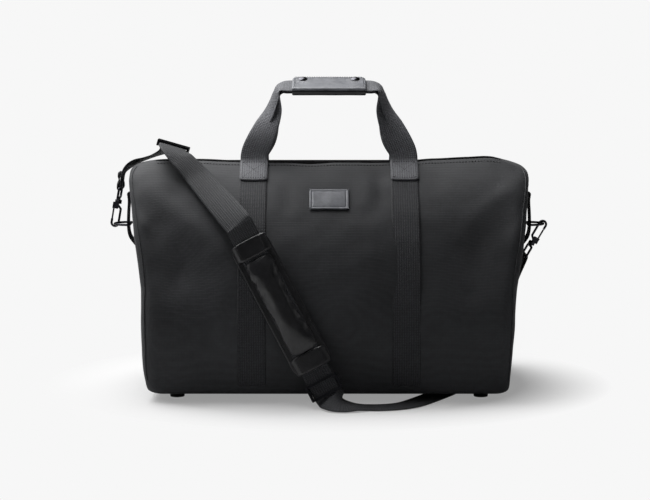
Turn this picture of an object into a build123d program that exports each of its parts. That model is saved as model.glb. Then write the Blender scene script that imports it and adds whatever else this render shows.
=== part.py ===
"""Soft weekender bag: sewn panels on four feet, top zip, two web handles in a snap-over grip,
and a padded shoulder strap clipped to a ring at each end. Millimetres, +Z up, the bag's long side
along X, its front towards -Y, and the origin on the floor under the middle of the bag."""

from build123d import *
from math import asin, atan2, cos, degrees, pi, radians, sin, sqrt
import os

os.makedirs("parts", exist_ok=True)

# ---- Driving dimensions -------------------------------------------------------------------------
# Bag body
base_half_length = 238.0  # half length at the foot of the end panels
waist_half_length = 250.0  # half length where the end panels start to flare
waist_height = 150.0
corner_half_length = 280.0  # half length at the top corners
corner_height = 287.0
ridge_half_length = 238.0  # where the top edge starts to slope down to the corners
ridge_height = 312.0  # top of the two lips beside the zip
base_half_depth = 140.0
belly_half_depth = 149.0  # widest point of front and back
belly_height = 91.0
base_radius = 14.0  # soft edge round the floor panel
wall = 3.0  # cloth, foam and lining sewn as one layer
top_slope = 28.0  # degrees, slope of the front beside the zip

# Floor
foot_height = 12.0
foot_radius = 11.0
foot_inset_length = 34.0  # foot centre from the end of the floor
foot_inset_depth = 42.0
board_thickness = 2.5
board_margin = 12.0
rivet_radius = 2.0
washer_radius = 6.0
washer_thickness = 1.2
rivet_clearance = 0.1
rivet_head_radius = 4.5
rivet_recess = 5.0
foot_taper = 1.5

# Webbing
web_width = 38.0
web_thickness = 2.2
sewn_gap = 0.15  # air between a sewn strap and the curved cloth under it
run_gap = 0.3  # air between pieces that move past each other
strap_spacing = 204.0  # centre to centre of the two sewn straps on one side
strap_foot_height = 24.0

# Zip
slot_half_width = 13.0
zip_half_length = 236.0
zip_fixed_right = 52.0  # stitched-down chain where the closed slider parks
slider_park = 15.0  # closed slider's middle from the end of the chain
tape_height = 303.0
tape_thickness = 1.2
tooth_width = 1.5
tooth_height = 2.4
tooth_slit = 1.5  # between the two rows, where the slider's post runs
flange_thickness = 1.2
flange_gap = 0.85
stop_length = 3.0

# Zip slider and pull
slider_length = 13.0
slider_width = 10.0
slider_plate = 1.4
slider_flange = 1.2
slider_post = 0.9
bridge_wire = 0.9
pull_length = 34.0
pull_width = 10.0
pull_thickness = 1.4
pull_eye_radius = 1.3

# Handles and grip
grip_height = 410.0
grip_tilt = 20.0  # degrees, front edge down
grip_length = 101.0
grip_leather = 2.0
grip_slack = 1.0  # room beside the webs inside the grip
snap_spacing = 72.0
snap_radius = 6.2
snap_offset = 12.0  # from the middle of the grip towards the flap's free edge
snap_dome = 2.2
stud_radius = 2.6
stud_height = 1.7
stud_clearance = 0.6
handle_lap_gap = 0.8
shoulder_reach = 58.0  # half length of the straight web through the grip

# End fittings
bow_width = 30.0
bow_reach = 278.0  # X of the bowed end web's outer face
bow_height = 222.0
bow_top = 266.0
bow_bottom = 168.0
wire = 3.2  # diameter of ring, claw and eye
ring_half_width = 17.75
ring_reach = 22.0
claw_angles = {"right": 60.0, "left": 80.0}  # degrees from level, up on the right, down on the left
claw_length = 32.0
claw_half_width = 4.8
claw_nose = 22.0  # from the claw's foot to the end of its nose
claw_seat = 0.3  # air between the ring and the claw's crown
gate_wire = 2.3
gate_foot = 5.5
gate_pin_radius = 0.8
gate_knuckle_radius = 2.0
gate_pin_clearance = 0.06
swivel_post_radius = 2.4
swivel_clearance = 0.08
swivel_collar_radius = 4.6
swivel_collar_length = 5.0
eye_half_width = 21.5
eye_drop = 16.0
zip_tab_width = 18.0
zip_tab_thickness = 3.2
zip_tab_top = 279.0
zip_tab_bottom = 267.5

# Shoulder pad and adjusters
pad_length = 196.0
pad_width = 54.0
pad_base_thickness = 2.5
pad_cover_length = 168.0
pad_cover_width = 46.0
pad_cover_height = 11.0
pad_channel_gap = 0.8
pad_centre = (-63.0, -151.3, 133.0)  # middle of the pad's back face
pad_run = (98.0, -38.0, -182.0)  # way the strap runs down the front
adjuster_length = 22.0
adjuster_bar = 3.2
adjuster_rail = 3.2
adjuster_thickness = 2.6
lower_adjuster_offset = 122.0  # down the pad's line from the pad's centre
shoulder_height = 286.0  # where the strap leaves the top of the front
shoulder_lift = 8.0
shoulder_x = -176.0
straight_run = 133.5  # end of the strap's straight stretch, down the same line
upper_adjuster_centre = (-214.0, 0.0, 329.0)
upper_adjuster_lean = 16.0  # degrees, outer edge up

# Badge patch and inner pocket
patch_width = 50.0
patch_depth = 32.0
patch_height = 262.0
patch_thickness = 2.4
pocket_width = 240.0
pocket_low = 95.0
pocket_high = 205.0
pocket_thickness = 1.2

# ---- Values worked out from them ----------------------------------------------------------------
lip_half_width = slot_half_width + wall
belly_radius = (belly_half_depth - lip_half_width) / (1 - sin(radians(top_slope)))
belly_centre = (-belly_half_depth + belly_radius, ridge_height - belly_radius * cos(radians(top_slope)))
web_half = web_width / 2
pi_half = pi / 2
strap_x = strap_spacing / 2
floor_z = foot_height


def write(shape, name):
    export_step(shape, f"parts/{name}.step")


def unit(v):
    return Vector(*v).normalized()


def front_point(height, offset=0.0):
    """Y and Z of the front's curved cloth at a height above the belly, moved out by offset."""
    turn = asin(sqrt(max(0.0, 1 - ((height - belly_centre[1]) / belly_radius) ** 2)))
    reach = belly_radius + offset
    return belly_centre[0] - reach * sin(turn), belly_centre[1] + reach * cos(turn)


def front_normal(height):
    y, z = front_point(height, 1.0)
    y0, z0 = front_point(height)
    return Vector(0, y - y0, z - z0)


def end_x(height):
    """X of the end panel's outer face above the waist."""
    slope = (corner_half_length - waist_half_length) / (corner_height - waist_height)
    return waist_half_length + (height - waist_height) * slope


# ---- Builders -----------------------------------------------------------------------------------
def polyhedron(sections):
    """A closed solid of flat triangles through rings of points, capped at both ends."""
    faces = []
    count = len(sections[0])
    for near, far in zip(sections, sections[1:]):
        for i in range(count):
            j = (i + 1) % count
            # Both broad faces are split along the same diagonal, so a twist keeps its thickness.
            split_at = (far[j], near[i]) if i < 2 else (far[i], near[j])
            faces.append(Face(Wire.make_polygon([near[i], near[j], split_at[0]])))
            faces.append(Face(Wire.make_polygon([split_at[1], far[j], far[i]])))
    for ring in (sections[0], sections[-1]):
        faces.append(Face(Wire.make_polygon([ring[0], ring[1], ring[2]])))
        faces.append(Face(Wire.make_polygon([ring[0], ring[2], ring[3]])))
    return Solid(Shell(faces))


def ribbon_frames(route):
    """For each (point, outward normal hint): the point, the width direction and the true normal."""
    points = [Vector(*p) for p, _ in route]
    frames = []
    for i, (_, hint) in enumerate(route):
        ahead = points[min(i + 1, len(points) - 1)]
        behind = points[max(i - 1, 0)]
        along = (ahead - behind).normalized()
        across = unit(hint).cross(along).normalized()
        frames.append((points[i], across, along.cross(across).normalized()))
    return frames


def ribbon(route, width=web_width, thickness=web_thickness):
    """A flat web along a route of points, each with the way its face looks."""
    rings = []
    for point, across, normal in ribbon_frames(route):
        side, up = across * (width / 2), normal * (thickness / 2)
        rings.append([point - side - up, point + side - up, point + side + up, point - side + up])
    return polyhedron(rings)


def mirrored_x(shape):
    return mirror(shape, about=Plane.YZ)


def mirrored_y(shape):
    return mirror(shape, about=Plane.XZ)


# ---- Bag body -----------------------------------------------------------------------------------
def end_view(inset):
    """Outline seen from the end, in (y, z), drawn in by inset."""
    radius = belly_radius - inset
    slope = radians(top_slope)
    lip = (belly_centre[0] - radius * sin(slope), belly_centre[1] + radius * cos(slope))
    mid_turn = radians((90 + top_slope) / 2)
    mid = (belly_centre[0] - radius * sin(mid_turn), belly_centre[1] + radius * cos(mid_turn))
    belly = (belly_centre[0] - radius, belly_centre[1])
    bottom = floor_z + inset
    foot = (-base_half_depth + inset, bottom)
    half = [foot, belly]
    line = Polyline(*half)
    arc = ThreePointArc(belly, mid, lip)
    top = Polyline(lip, (0, lip[1]))
    closing = Polyline((0, lip[1]), (0, bottom), foot)
    face = make_face(Plane.YZ * (line + arc + top + closing))
    return face


def front_view(inset):
    """Outline seen from the front, in (x, z), drawn in by inset."""
    bottom = floor_z + inset
    points = [
        (base_half_length - inset, bottom),
        (waist_half_length - inset, waist_height),
        (corner_half_length - inset, corner_height),
        (ridge_half_length, ridge_height - inset),
    ]
    outline = [(-x, z) for x, z in points] + [(x, z) for x, z in reversed(points)]
    return make_face(Plane.XZ * Polyline(*outline, close=True))


def pinch_planes(inset):
    """The slanting planes that draw the body in to a point at each top corner."""
    apex = Vector(corner_half_length + 1, 0, corner_height + 1)
    low = Vector(base_half_length + 2, belly_half_depth - 1, belly_height)
    y, z = front_point(247)
    shoulder = Vector(200, -y, z)
    normal = (low - apex).cross(shoulder - apex).normalized()
    if normal.X < 0:
        normal = normal * -1
    origin = apex - normal * inset
    planes = []
    for sx in (1, -1):
        for sy in (1, -1):
            at = Vector(sx * origin.X, sy * origin.Y, origin.Z)
            planes.append(Plane(origin=at, z_dir=(sx * normal.X, sy * normal.Y, normal.Z)))
    return planes


def body_block(inset):
    half = extrude(end_view(inset), amount=corner_half_length + 10, both=True)
    whole = half + mirrored_y(half)
    block = whole & extrude(front_view(inset), amount=belly_half_depth + 20, both=True)
    for plane in pinch_planes(inset):
        block = split(block, bisect_by=plane, keep=Keep.BOTTOM)
    return block


def body_panels():
    outer = body_block(0)
    floor_edges = outer.edges().filter_by_position(Axis.Z, floor_z - 0.1, floor_z + 0.1)
    outer = fillet(floor_edges, base_radius)
    inner = body_block(wall)
    inner_edges = inner.edges().filter_by_position(Axis.Z, floor_z + wall - 0.1, floor_z + wall + 0.1)
    shell = outer - fillet(inner_edges, base_radius - wall)
    slot = Pos(0, 0, ridge_height) * Box(2 * zip_half_length, 2 * slot_half_width, 60)
    shell = shell - slot
    big = 4 * corner_half_length
    floor_top = floor_z + wall
    floor = shell & Pos(0, 0, floor_top - big / 2) * Box(big, big, big)
    floor -= rivet_holes()
    sides = shell & Pos(0, 0, floor_top + big / 2) * Box(big, big, big)
    core_points = [
        (base_half_length - wall, floor_z - 20),
        (base_half_length - wall, floor_z + wall),
        (waist_half_length - wall, waist_height),
        (corner_half_length - wall, corner_height),
        (corner_half_length - wall, ridge_height + 40),
    ]
    outline = [(-x, z) for x, z in core_points] + [(x, z) for x, z in reversed(core_points)]
    core = extrude(make_face(Plane.XZ * Polyline(*outline, close=True)), amount=big / 2, both=True)
    ends = sides - core
    rest = sides & core
    front_box = Pos(0, -big / 2, 0) * Box(big, big, big)
    right_box = Pos(big / 2, 0, 0) * Box(big, big, big)
    write(rest & front_box, "front_panel")
    write(rest - front_box, "back_panel")
    write(ends & right_box, "right_gusset")
    write(ends - right_box, "left_gusset")
    write(floor, "base_panel")



def cloth_strip(low, high, inner, outer, width, x=0.0, top_turn=None):
    """A strip that follows the front's cloth between two heights, from inner to outer off it."""
    turn = radians(top_turn) if top_turn else asin(sqrt(1 - ((high - belly_centre[1]) / belly_radius) ** 2))
    start = low if low < belly_height else None
    low_turn = pi_half if start else asin(sqrt(1 - ((low - belly_centre[1]) / belly_radius) ** 2))
    mid_turn = (turn + low_turn) / 2

    def at(angle, offset):
        reach = belly_radius + offset
        return belly_centre[0] - reach * sin(angle), belly_centre[1] + reach * cos(angle)

    outline = ThreePointArc(at(low_turn, inner), at(mid_turn, inner), at(turn, inner))
    outline += Line(at(turn, inner), at(turn, outer))
    outline += ThreePointArc(at(turn, outer), at(mid_turn, outer), at(low_turn, outer))
    if start:
        rise = (low - floor_z) / (belly_height - floor_z)
        foot_y = -base_half_depth - (belly_half_depth - base_half_depth) * rise
        foot = ((foot_y - outer, low), (foot_y - inner, low))
        outline += Polyline(at(low_turn, outer), *foot, at(low_turn, inner))
    else:
        outline += Line(at(low_turn, outer), at(low_turn, inner))
    face = make_face(Plane.YZ * outline)
    return Pos(x, 0, 0) * extrude(face, amount=width / 2, both=True)


# ---- Floor --------------------------------------------------------------------------------------
def foot_places():
    x, y = base_half_length - foot_inset_length, base_half_depth - foot_inset_depth
    return [(sx * x, sy * y) for sx in (1, -1) for sy in (1, -1)]


def rivet_holes():
    reach = floor_z + 40
    return [Pos(x, y, 0) * Cylinder(rivet_radius + rivet_clearance, reach) for x, y in foot_places()]


def floor_board():
    length = 2 * (base_half_length - wall - board_margin)
    depth = 2 * (base_half_depth - wall - board_margin)
    board = Pos(0, 0, floor_z + wall + board_thickness / 2) * Box(length, depth, board_thickness)
    board = fillet(board.edges().filter_by(Axis.Z), board_margin)
    write(board - rivet_holes(), "base_board")


def feet():
    foot = Pos(0, 0, floor_z / 2) * Cone(foot_radius - foot_taper, foot_radius, floor_z)
    foot -= Pos(0, 0, 0) * Cylinder(rivet_radius + rivet_clearance, 2 * floor_z + 1)
    foot -= Pos(0, 0, 0) * Cylinder(rivet_head_radius + rivet_clearance, 2 * rivet_recess)
    top = floor_z + wall + board_thickness
    rivet = Pos(0, 0, (top + rivet_recess) / 2) * Cylinder(rivet_radius, top - rivet_recess)
    rivet += Pos(0, 0, rivet_recess - washer_thickness / 2) * Cylinder(rivet_head_radius, washer_thickness)
    rivet += Pos(0, 0, top + washer_thickness / 2) * Cylinder(washer_radius, washer_thickness)
    write(Compound([Pos(x, y, 0) * foot for x, y in foot_places()]), "feet")
    write(Compound([Pos(x, y, 0) * rivet for x, y in foot_places()]), "foot_rivets")


# ---- Sewn straps, badge and pocket --------------------------------------------------------------
def sewn_straps():
    outer = sewn_gap + web_thickness
    band = cloth_strip(strap_foot_height, ridge_height, sewn_gap, outer, web_width, 0, top_slope)
    for side, x in (("left", -strap_x), ("right", strap_x)):
        write(Pos(x, 0, 0) * band, f"front_band_{side}")
        write(Pos(x, 0, 0) * mirrored_y(band), f"back_band_{side}")


def badge_patch():
    spread = patch_depth / 2 * sqrt(1 - ((patch_height - belly_centre[1]) / belly_radius) ** 2)
    low, high = patch_height - spread, patch_height + spread
    patch = cloth_strip(low, high, sewn_gap, sewn_gap + patch_thickness, patch_width)
    write(patch, "badge_patch")


def inner_pocket():
    near, far = -wall - sewn_gap - pocket_thickness, -wall - sewn_gap
    write(mirrored_y(cloth_strip(pocket_low, pocket_high, near, far, pocket_width)), "inner_pocket")


# ---- Zip ----------------------------------------------------------------------------------------
def bar(x0, x1, y0, y1, z0, z1):
    return Pos((x0 + x1) / 2, (y0 + y1) / 2, (z0 + z1) / 2) * Box(x1 - x0, y1 - y0, z1 - z0)


def zip_parts():
    end = zip_half_length
    left_fixed = pull_length + slider_length + 2 * run_gap
    mouth_left, mouth_right = left_fixed - end, end - zip_fixed_right
    root_y = slot_half_width - flange_gap
    tooth_in = tooth_slit / 2
    tooth_out = tooth_in + tooth_width
    tape_low, tape_high = tape_height - tape_thickness / 2, tape_height + tape_thickness / 2
    tooth_low, tooth_high = tape_height - tooth_height / 2, tape_height + tooth_height / 2

    outer = -slot_half_width - flange_thickness
    flange = bar(-end, end, outer, -slot_half_width, tape_low, ridge_height - wall)
    write(flange, "zip_front_flange")
    write(mirrored_y(flange), "zip_back_flange")

    tape = bar(mouth_left, mouth_right, -root_y, -tooth_out, tape_low, tape_high)
    teeth = bar(mouth_left, mouth_right, -tooth_out, -tooth_in, tooth_low, tooth_high)
    write(tape, "zip_front_tape")
    write(teeth, "zip_front_teeth")
    write(mirrored_y(tape), "zip_back_tape")
    write(mirrored_y(teeth), "zip_back_teeth")

    fixed = []
    for x0, x1 in ((-end, mouth_left - run_gap), (mouth_right + run_gap, end)):
        half = bar(x0, x1, -slot_half_width, -tooth_out, tape_low, tape_high)
        half += bar(x0, x1, -tooth_out, -tooth_in, tooth_low, tooth_high)
        stop_x = x0 if x0 < 0 else x1 - stop_length
        stop = bar(stop_x, stop_x + stop_length, -tooth_out, tooth_out, tooth_low, tooth_high)
        fixed += [half + mirrored_y(half) + stop]
    write(Compound(fixed), "zip_end_chain")

    park = end - slider_park
    plate_top, plate_low = tooth_high + run_gap, tooth_low - run_gap
    long, wide = slider_length / 2, slider_width / 2
    top = bar(-long, long, -wide, wide, plate_top, plate_top + slider_plate)
    bottom = bar(-long, long, -wide, wide, plate_low - slider_plate, plate_low)
    half_post = slider_post / 2
    slider = top + bottom + bar(-long / 2, long / 2, -half_post, half_post, plate_low, plate_top)
    for low, high in ((tape_high + run_gap, plate_top), (plate_low, tape_low - run_gap)):
        lip = bar(-long, long, -wide, slider_flange - wide, low, high)
        slider += lip + mirrored_y(lip)
    pin_z = plate_top + slider_plate + pull_eye_radius + run_gap
    arm_y = pull_width / 4
    for y in (-arm_y, arm_y):
        ear = bar(-pull_eye_radius, pull_eye_radius, y - bridge_wire, y + bridge_wire, plate_top, pin_z)
        slider += ear + Pos(0, y, pin_z) * Rot(90, 0, 0) * Cylinder(pull_eye_radius, 2 * bridge_wire)
    slider += Pos(0, 0, pin_z) * Rot(90, 0, 0) * Cylinder(bridge_wire / 2, 2 * arm_y)
    write(Pos(park, 0, 0) * slider, "zip_slider")

    tongue = arm_y - bridge_wire - run_gap
    low = pin_z - pull_thickness / 2
    knuckle = Rot(90, 0, 0) * Cylinder(pull_eye_radius, 2 * tongue)
    neck = bar(-pull_length / 3, 0, -tongue, tongue, low - pin_z, low - pin_z + pull_thickness)
    half_pull = pull_width / 2
    under = low - pin_z
    blade = bar(-pull_length, -pull_length / 4, -half_pull, half_pull, under, under + pull_thickness)
    blade = fillet(blade.edges().filter_by(Axis.Z), pull_width / 4)
    pull = knuckle + neck + blade
    pull -= Rot(90, 0, 0) * Cylinder(bridge_wire / 2 + gate_pin_clearance, pull_width)
    write(Pos(park, 0, pin_z) * pull, "zip_pull")
    print("zip mouth x", mouth_left, mouth_right, "park", park, "pull pin z", pin_z)


# ---- Handles and grip ---------------------------------------------------------------------------
def grip_plane():
    tilt = radians(grip_tilt)
    return Plane(origin=(0, 0, grip_height), x_dir=(1, 0, 0), z_dir=(0, -sin(tilt), cos(tilt)))


def grip_place(x, across, up):
    """A point in the grip's own frame: along X, towards its back edge, and out of its top."""
    tilt = radians(grip_tilt)
    y = across * cos(tilt) - up * sin(tilt)
    return x, y, grip_height + across * sin(tilt) + up * cos(tilt)


def handles():
    plane = grip_plane()
    layer = (web_thickness + handle_lap_gap) / 2
    web = Box(2 * shoulder_reach, web_width, web_thickness)
    write(plane * Pos(0, 0, layer) * web, "front_handle_web")
    write(plane * Pos(0, 0, -layer) * web, "back_handle_web")

    inside_width = web_width + 2 * grip_slack
    inside_height = 2 * web_thickness + handle_lap_gap + grip_slack
    tube = Box(grip_length, inside_width + 2 * grip_leather, inside_height + 2 * grip_leather)
    tube = fillet(tube.edges().filter_by(Axis.X), grip_leather)
    tube -= Box(grip_length + 1, inside_width, inside_height)
    write(plane * tube, "grip_wrap")

    top = inside_height / 2 + grip_leather
    half = inside_width / 2 + grip_leather
    places = [(x, snap_offset) for x in (-snap_spacing / 2, snap_spacing / 2)]
    studs = [Pos(x, y, top + stud_height / 2) * Cylinder(stud_radius, stud_height) for x, y in places]
    write(Compound([plane * stud for stud in studs]), "snap_studs")

    under = top + run_gap
    flap = Pos(0, 0, under + grip_leather / 2) * Box(grip_length, 2 * half - grip_leather, grip_leather)
    flap = fillet(flap.edges().filter_by(Axis.Z), 3 * grip_leather)
    flap += Pos(0, -half + grip_leather / 2, under + grip_leather / 2) * Rot(0, 90, 0) * Cylinder(
        grip_leather / 2, grip_length
    )
    flap -= [Pos(x, y, under) * Cylinder(stud_radius + stud_clearance, 5 * grip_leather) for x, y in places]
    write(plane * flap, "grip_flap")
    cap_base = under + grip_leather
    dome_radius = (snap_radius**2 + snap_dome**2) / (2 * snap_dome)
    caps = []
    for x, y in places:
        dome = Pos(x, y, cap_base + snap_dome - dome_radius) * Sphere(dome_radius)
        rim = Pos(x, y, cap_base + snap_dome) * Cylinder(snap_radius + 1, 2 * snap_dome)
        caps.append(plane * (dome & rim))
    write(Compound(caps), "snap_caps")
    print("flap hinge", grip_place(0, -half + grip_leather / 2, under + grip_leather / 2))

    for name, sign, route in (("front", 1, front_leg_route), ("back", -1, back_leg_route)):
        layer_side = layer * sign
        tilt = radians(grip_tilt)
        starts = [grip_place(-shoulder_reach - run_gap - x, 0, layer_side) for x in (0, 2)]
        points = [(start, (0, -sin(tilt), cos(tilt))) for start in starts] + route
        leg = ribbon(points)
        write(leg, f"{name}_left_leg")
        write(mirrored_x(leg), f"{name}_right_leg")


# Left legs: point and the way the outer face looks, from the grip down to the lip of the bag
front_leg_route = [
    ((-67.0, -0.5, 410.0), (-0.35, -0.25, 0.9)),
    ((-73.0, -0.8, 405.0), (-0.8, -0.1, 0.6)),
    ((-78.0, -1.0, 394.0), (-0.96, 0.0, 0.28)),
    ((-87.0, -2.5, 378.0), (-0.96, -0.13, 0.3)),
    ((-101.0, -10.0, 358.0), (-0.85, -0.45, 0.2)),
    ((-104.5, -14.5, 339.0), (-0.5, -0.86, 0.1)),
    ((-102.3, -16.5, 324.0), (-0.1, -0.99, 0.0)),
    ((-102.0, -17.0, 318.0), (0.0, -1.0, 0.0)),
    ((-102.0, -17.0, 314.8), (0.0, -1.0, 0.0)),
]
back_leg_route = [
    ((-65.0, 0.7, 406.8), (-0.35, -0.25, 0.9)),
    ((-69.5, 0.8, 402.0), (-0.85, -0.1, 0.5)),
    ((-72.3, 1.0, 391.5), (-0.96, 0.0, 0.28)),
    ((-76.5, 2.5, 376.0), (-0.96, 0.13, 0.3)),
    ((-83.0, 10.0, 357.0), (-0.86, 0.45, 0.2)),
    ((-92.0, 14.5, 338.0), (-0.5, 0.86, 0.1)),
    ((-101.0, 16.0, 324.0), (-0.15, 0.98, 0.0)),
    ((-102.0, 17.0, 318.0), (0.0, 1.0, 0.0)),
    ((-102.0, 17.0, 314.8), (0.0, 1.0, 0.0)),
]


# ---- Rings, hooks and end webs ------------------------------------------------------------------
def wire_sweep(path, diameter=wire):
    return sweep((path ^ 0) * Circle(diameter / 2), path=path)


def hook_frame(side):
    """The hook's own plane: X towards its crown, Z towards the bag, and the origin at its foot."""
    turn = radians(claw_angles[side])
    sign = 1 if side == "right" else -1
    u = Vector(sign * cos(turn), 0, sign * sin(turn))
    bar_x = bow_reach - web_thickness - run_gap - wire / 2
    ring_far = Vector(sign * (bar_x + ring_reach), 0, bow_height)
    foot = ring_far - u * (claw_length - wire - claw_seat)
    return Plane(origin=foot, x_dir=u, z_dir=(-u.Z, 0, u.X)), u, foot


def end_web(side):
    outside = sewn_gap + web_thickness / 2
    route = [
        (end_x(bow_top) + outside, bow_top),
        (end_x(bow_top - 12) + outside, bow_top - 12),
        (bow_reach - web_thickness / 2 - 0.6, bow_height + 16),
        (bow_reach - web_thickness / 2, bow_height + 4),
        (bow_reach - web_thickness / 2, bow_height - 4),
        (bow_reach - web_thickness / 2 - 2.5, bow_height - 17),
        (end_x(bow_bottom + 20) + outside + 5.5, bow_bottom + 24),
        (end_x(bow_bottom + 14) + outside, bow_bottom + 14),
        (end_x(bow_bottom) + outside, bow_bottom),
    ]
    web = ribbon([((x, 0, z), (1, 0, -0.1)) for x, z in route], width=bow_width)
    write(web if side == "right" else mirrored_x(web), f"{side}_end_web")


def ring(side):
    bar_x = bow_reach - web_thickness - run_gap - wire / 2
    h, far = ring_half_width, bar_x + ring_reach
    corner = wire
    straight = far - h
    path = Wire(
        [
            Edge.make_line((bar_x, -h + corner, 0), (bar_x, h - corner, 0)),
            Edge.make_three_point_arc(
                (bar_x, h - corner, 0),
                (bar_x + corner * (1 - cos(pi_half / 2)), h - corner * (1 - sin(pi_half / 2)), 0),
                (bar_x + corner, h, 0),
            ),
            Edge.make_line((bar_x + corner, h, 0), (straight, h, 0)),
            Edge.make_three_point_arc((straight, h, 0), (far, 0, 0), (straight, -h, 0)),
            Edge.make_line((straight, -h, 0), (bar_x + corner, -h, 0)),
            Edge.make_three_point_arc(
                (bar_x + corner, -h, 0),
                (bar_x + corner * (1 - cos(pi_half / 2)), -h + corner * (1 - sin(pi_half / 2)), 0),
                (bar_x, -h + corner, 0),
            ),
        ]
    )
    profile = Plane(origin=(bar_x, -h + corner, 0), z_dir=(0, 1, 0)) * Circle(wire / 2)
    body = Pos(0, 0, bow_height) * sweep(profile, path=path)
    write(body if side == "right" else mirrored_x(body), f"{side}_ring")


def hook(side):
    plane, u, foot = hook_frame(side)
    hw = claw_half_width
    crown = claw_length - hw
    neck = FilletPolyline(
        [(-1, 0, 0), (gate_foot * 0.4, 0, 0), (gate_foot + 1.5, 0, hw), (crown, 0, hw)],
        radius=0.7 * wire,
    )
    bow = ThreePointArc((crown, 0, hw), (claw_length, 0, 0), (crown, 0, -hw))
    nose = Line((crown, 0, -hw), (claw_nose, 0, -hw))
    claw = sweep(Plane(origin=(-1, 0, 0), z_dir=(1, 0, 0)) * Circle(wire / 2), path=neck + bow + nose)
    along = Rot(0, 90, 0)
    collar = Cylinder(swivel_collar_radius, swivel_collar_length)
    claw += Pos(-swivel_collar_length / 2, 0, 0) * along * collar
    bore_depth = swivel_collar_length - 1.2
    bore = Cylinder(swivel_post_radius + swivel_clearance, bore_depth)
    claw -= Pos(-swivel_collar_length + bore_depth / 2, 0, 0) * along * bore
    half_knuckle = gate_wire / 2
    cheek_reach = gate_foot + gate_knuckle_radius
    for y in (-1, 1):
        y0 = y * (half_knuckle + run_gap + 0.5)
        cheek = Pos(cheek_reach / 2 - 0.5, y0, (-hw - gate_knuckle_radius + 1) / 2)
        claw += cheek * Box(cheek_reach + 1, 1.0, hw + gate_knuckle_radius + 1)
    hinge = Pos(gate_foot, 0, -hw) * Rot(90, 0, 0)
    claw += hinge * Cylinder(gate_pin_radius, 2 * (half_knuckle + run_gap + 0.5))
    write(plane * claw, f"{side}_claw")

    gate = hinge * Cylinder(gate_knuckle_radius, gate_wire)
    blade = claw_nose - run_gap - gate_foot
    gate += Pos(gate_foot + blade / 2, 0, -hw) * along * Cylinder(gate_wire / 2, blade)
    gate -= hinge * Cylinder(gate_pin_radius + gate_pin_clearance, 2 * gate_wire)
    write(plane * gate, f"{side}_gate")

    near = -(swivel_collar_length + run_gap + wire / 2)
    far = near - eye_drop
    w, corner = eye_half_width, wire
    path = FilletPolyline(
        [(near, 0, 0), (near, w, 0), (far, w, 0), (far, -w, 0), (near, -w, 0), (near, -0.001, 0)], radius=corner
    )
    eye = sweep(Plane(origin=(near, 0, 0), z_dir=(0, 1, 0)) * Circle(wire / 2), path=path)
    post_length = abs(near) - 1.2 - run_gap
    eye += Pos(near + post_length / 2, 0, 0) * along * Cylinder(swivel_post_radius, post_length)
    write(plane * eye, f"{side}_strap_eye")
    pin = plane.from_local_coords((gate_foot, 0, -hw))
    print(side, "hook foot", tuple(foot), "axis", tuple(u), "gate pin", tuple(pin))
    return plane.from_local_coords((far, 0, 0))


def zip_tab(side):
    height = zip_tab_top - zip_tab_bottom
    z = (zip_tab_top + zip_tab_bottom) / 2
    lean = degrees(atan2(corner_half_length - waist_half_length, corner_height - waist_height))
    x = end_x(z) + sewn_gap + zip_tab_thickness / 2
    tab = Pos(x, 0, z) * Rot(0, lean, 0) * Box(zip_tab_thickness, zip_tab_width, height)
    tab = fillet(tab.edges().filter_by(Axis.Y), zip_tab_thickness / 4)
    write(tab if side == "right" else mirrored_x(tab), f"{side}_zip_tab")


# ---- Shoulder strap -----------------------------------------------------------------------------
def pad_frame():
    """Plane at the pad's back face: X up the strap, Z out from the bag."""
    down = unit(pad_run)
    out = Vector(0, -1, 0)
    out = (out - down * out.dot(down)).normalized()
    return Plane(origin=pad_centre, x_dir=tuple(down * -1), z_dir=tuple(out)), down, out


def pad_line(distance):
    """Middle of the strap at a distance down the pad's line."""
    _, down, out = pad_frame()
    lift = pad_base_thickness + pad_channel_gap + web_thickness / 2
    return Vector(*pad_centre) + down * distance + out * lift


def eye_turn(centre, first, last, steps=6):
    """The web's way round a bar along Y: from one angle to the other in the XZ plane."""
    radius = wire / 2 + run_gap + web_thickness / 2
    turns = [radians(first + (last - first) * i / steps) for i in range(steps + 1)]
    return [((centre.X + radius * cos(t), 0, centre.Z + radius * sin(t)), (cos(t), 0, sin(t))) for t in turns]


def strap_route(left_eye, right_eye):
    _, down, out = pad_frame()
    normal = tuple(out)
    ends = [-straight_run + 15, -straight_run + 17, straight_run, straight_run + 2]
    route = [((left_eye.X - 0.9, 0.3, left_eye.Z + 22), (-1, 0, 0.05))]
    route += left_loop(left_eye)
    route += over_the_ridge
    y, z = front_point(shoulder_height, shoulder_lift)
    normal_there = front_normal(shoulder_height)
    route.append(((shoulder_x, y, z), (0.1, normal_there.Y, normal_there.Z)))
    route += [(tuple(pad_line(distance)), normal) for distance in ends]
    route += along_the_floor
    route += right_loop(right_eye)
    return route


def left_loop(eye):
    """Doubled end outside, round the bar from below, and up on the bag's side."""
    return [(p, (-n[0], 0, -n[2])) for p, n in eye_turn(eye, 180, 360)]


def right_loop(eye):
    """Up outside the bar, over it, and down on the bag's side."""
    turned = eye_turn(eye, -25, 205)
    end = ((eye.X - 9.6, 0, eye.Z - 24.5), (-0.93, 0, 0.37))
    return turned + [end]


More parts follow.
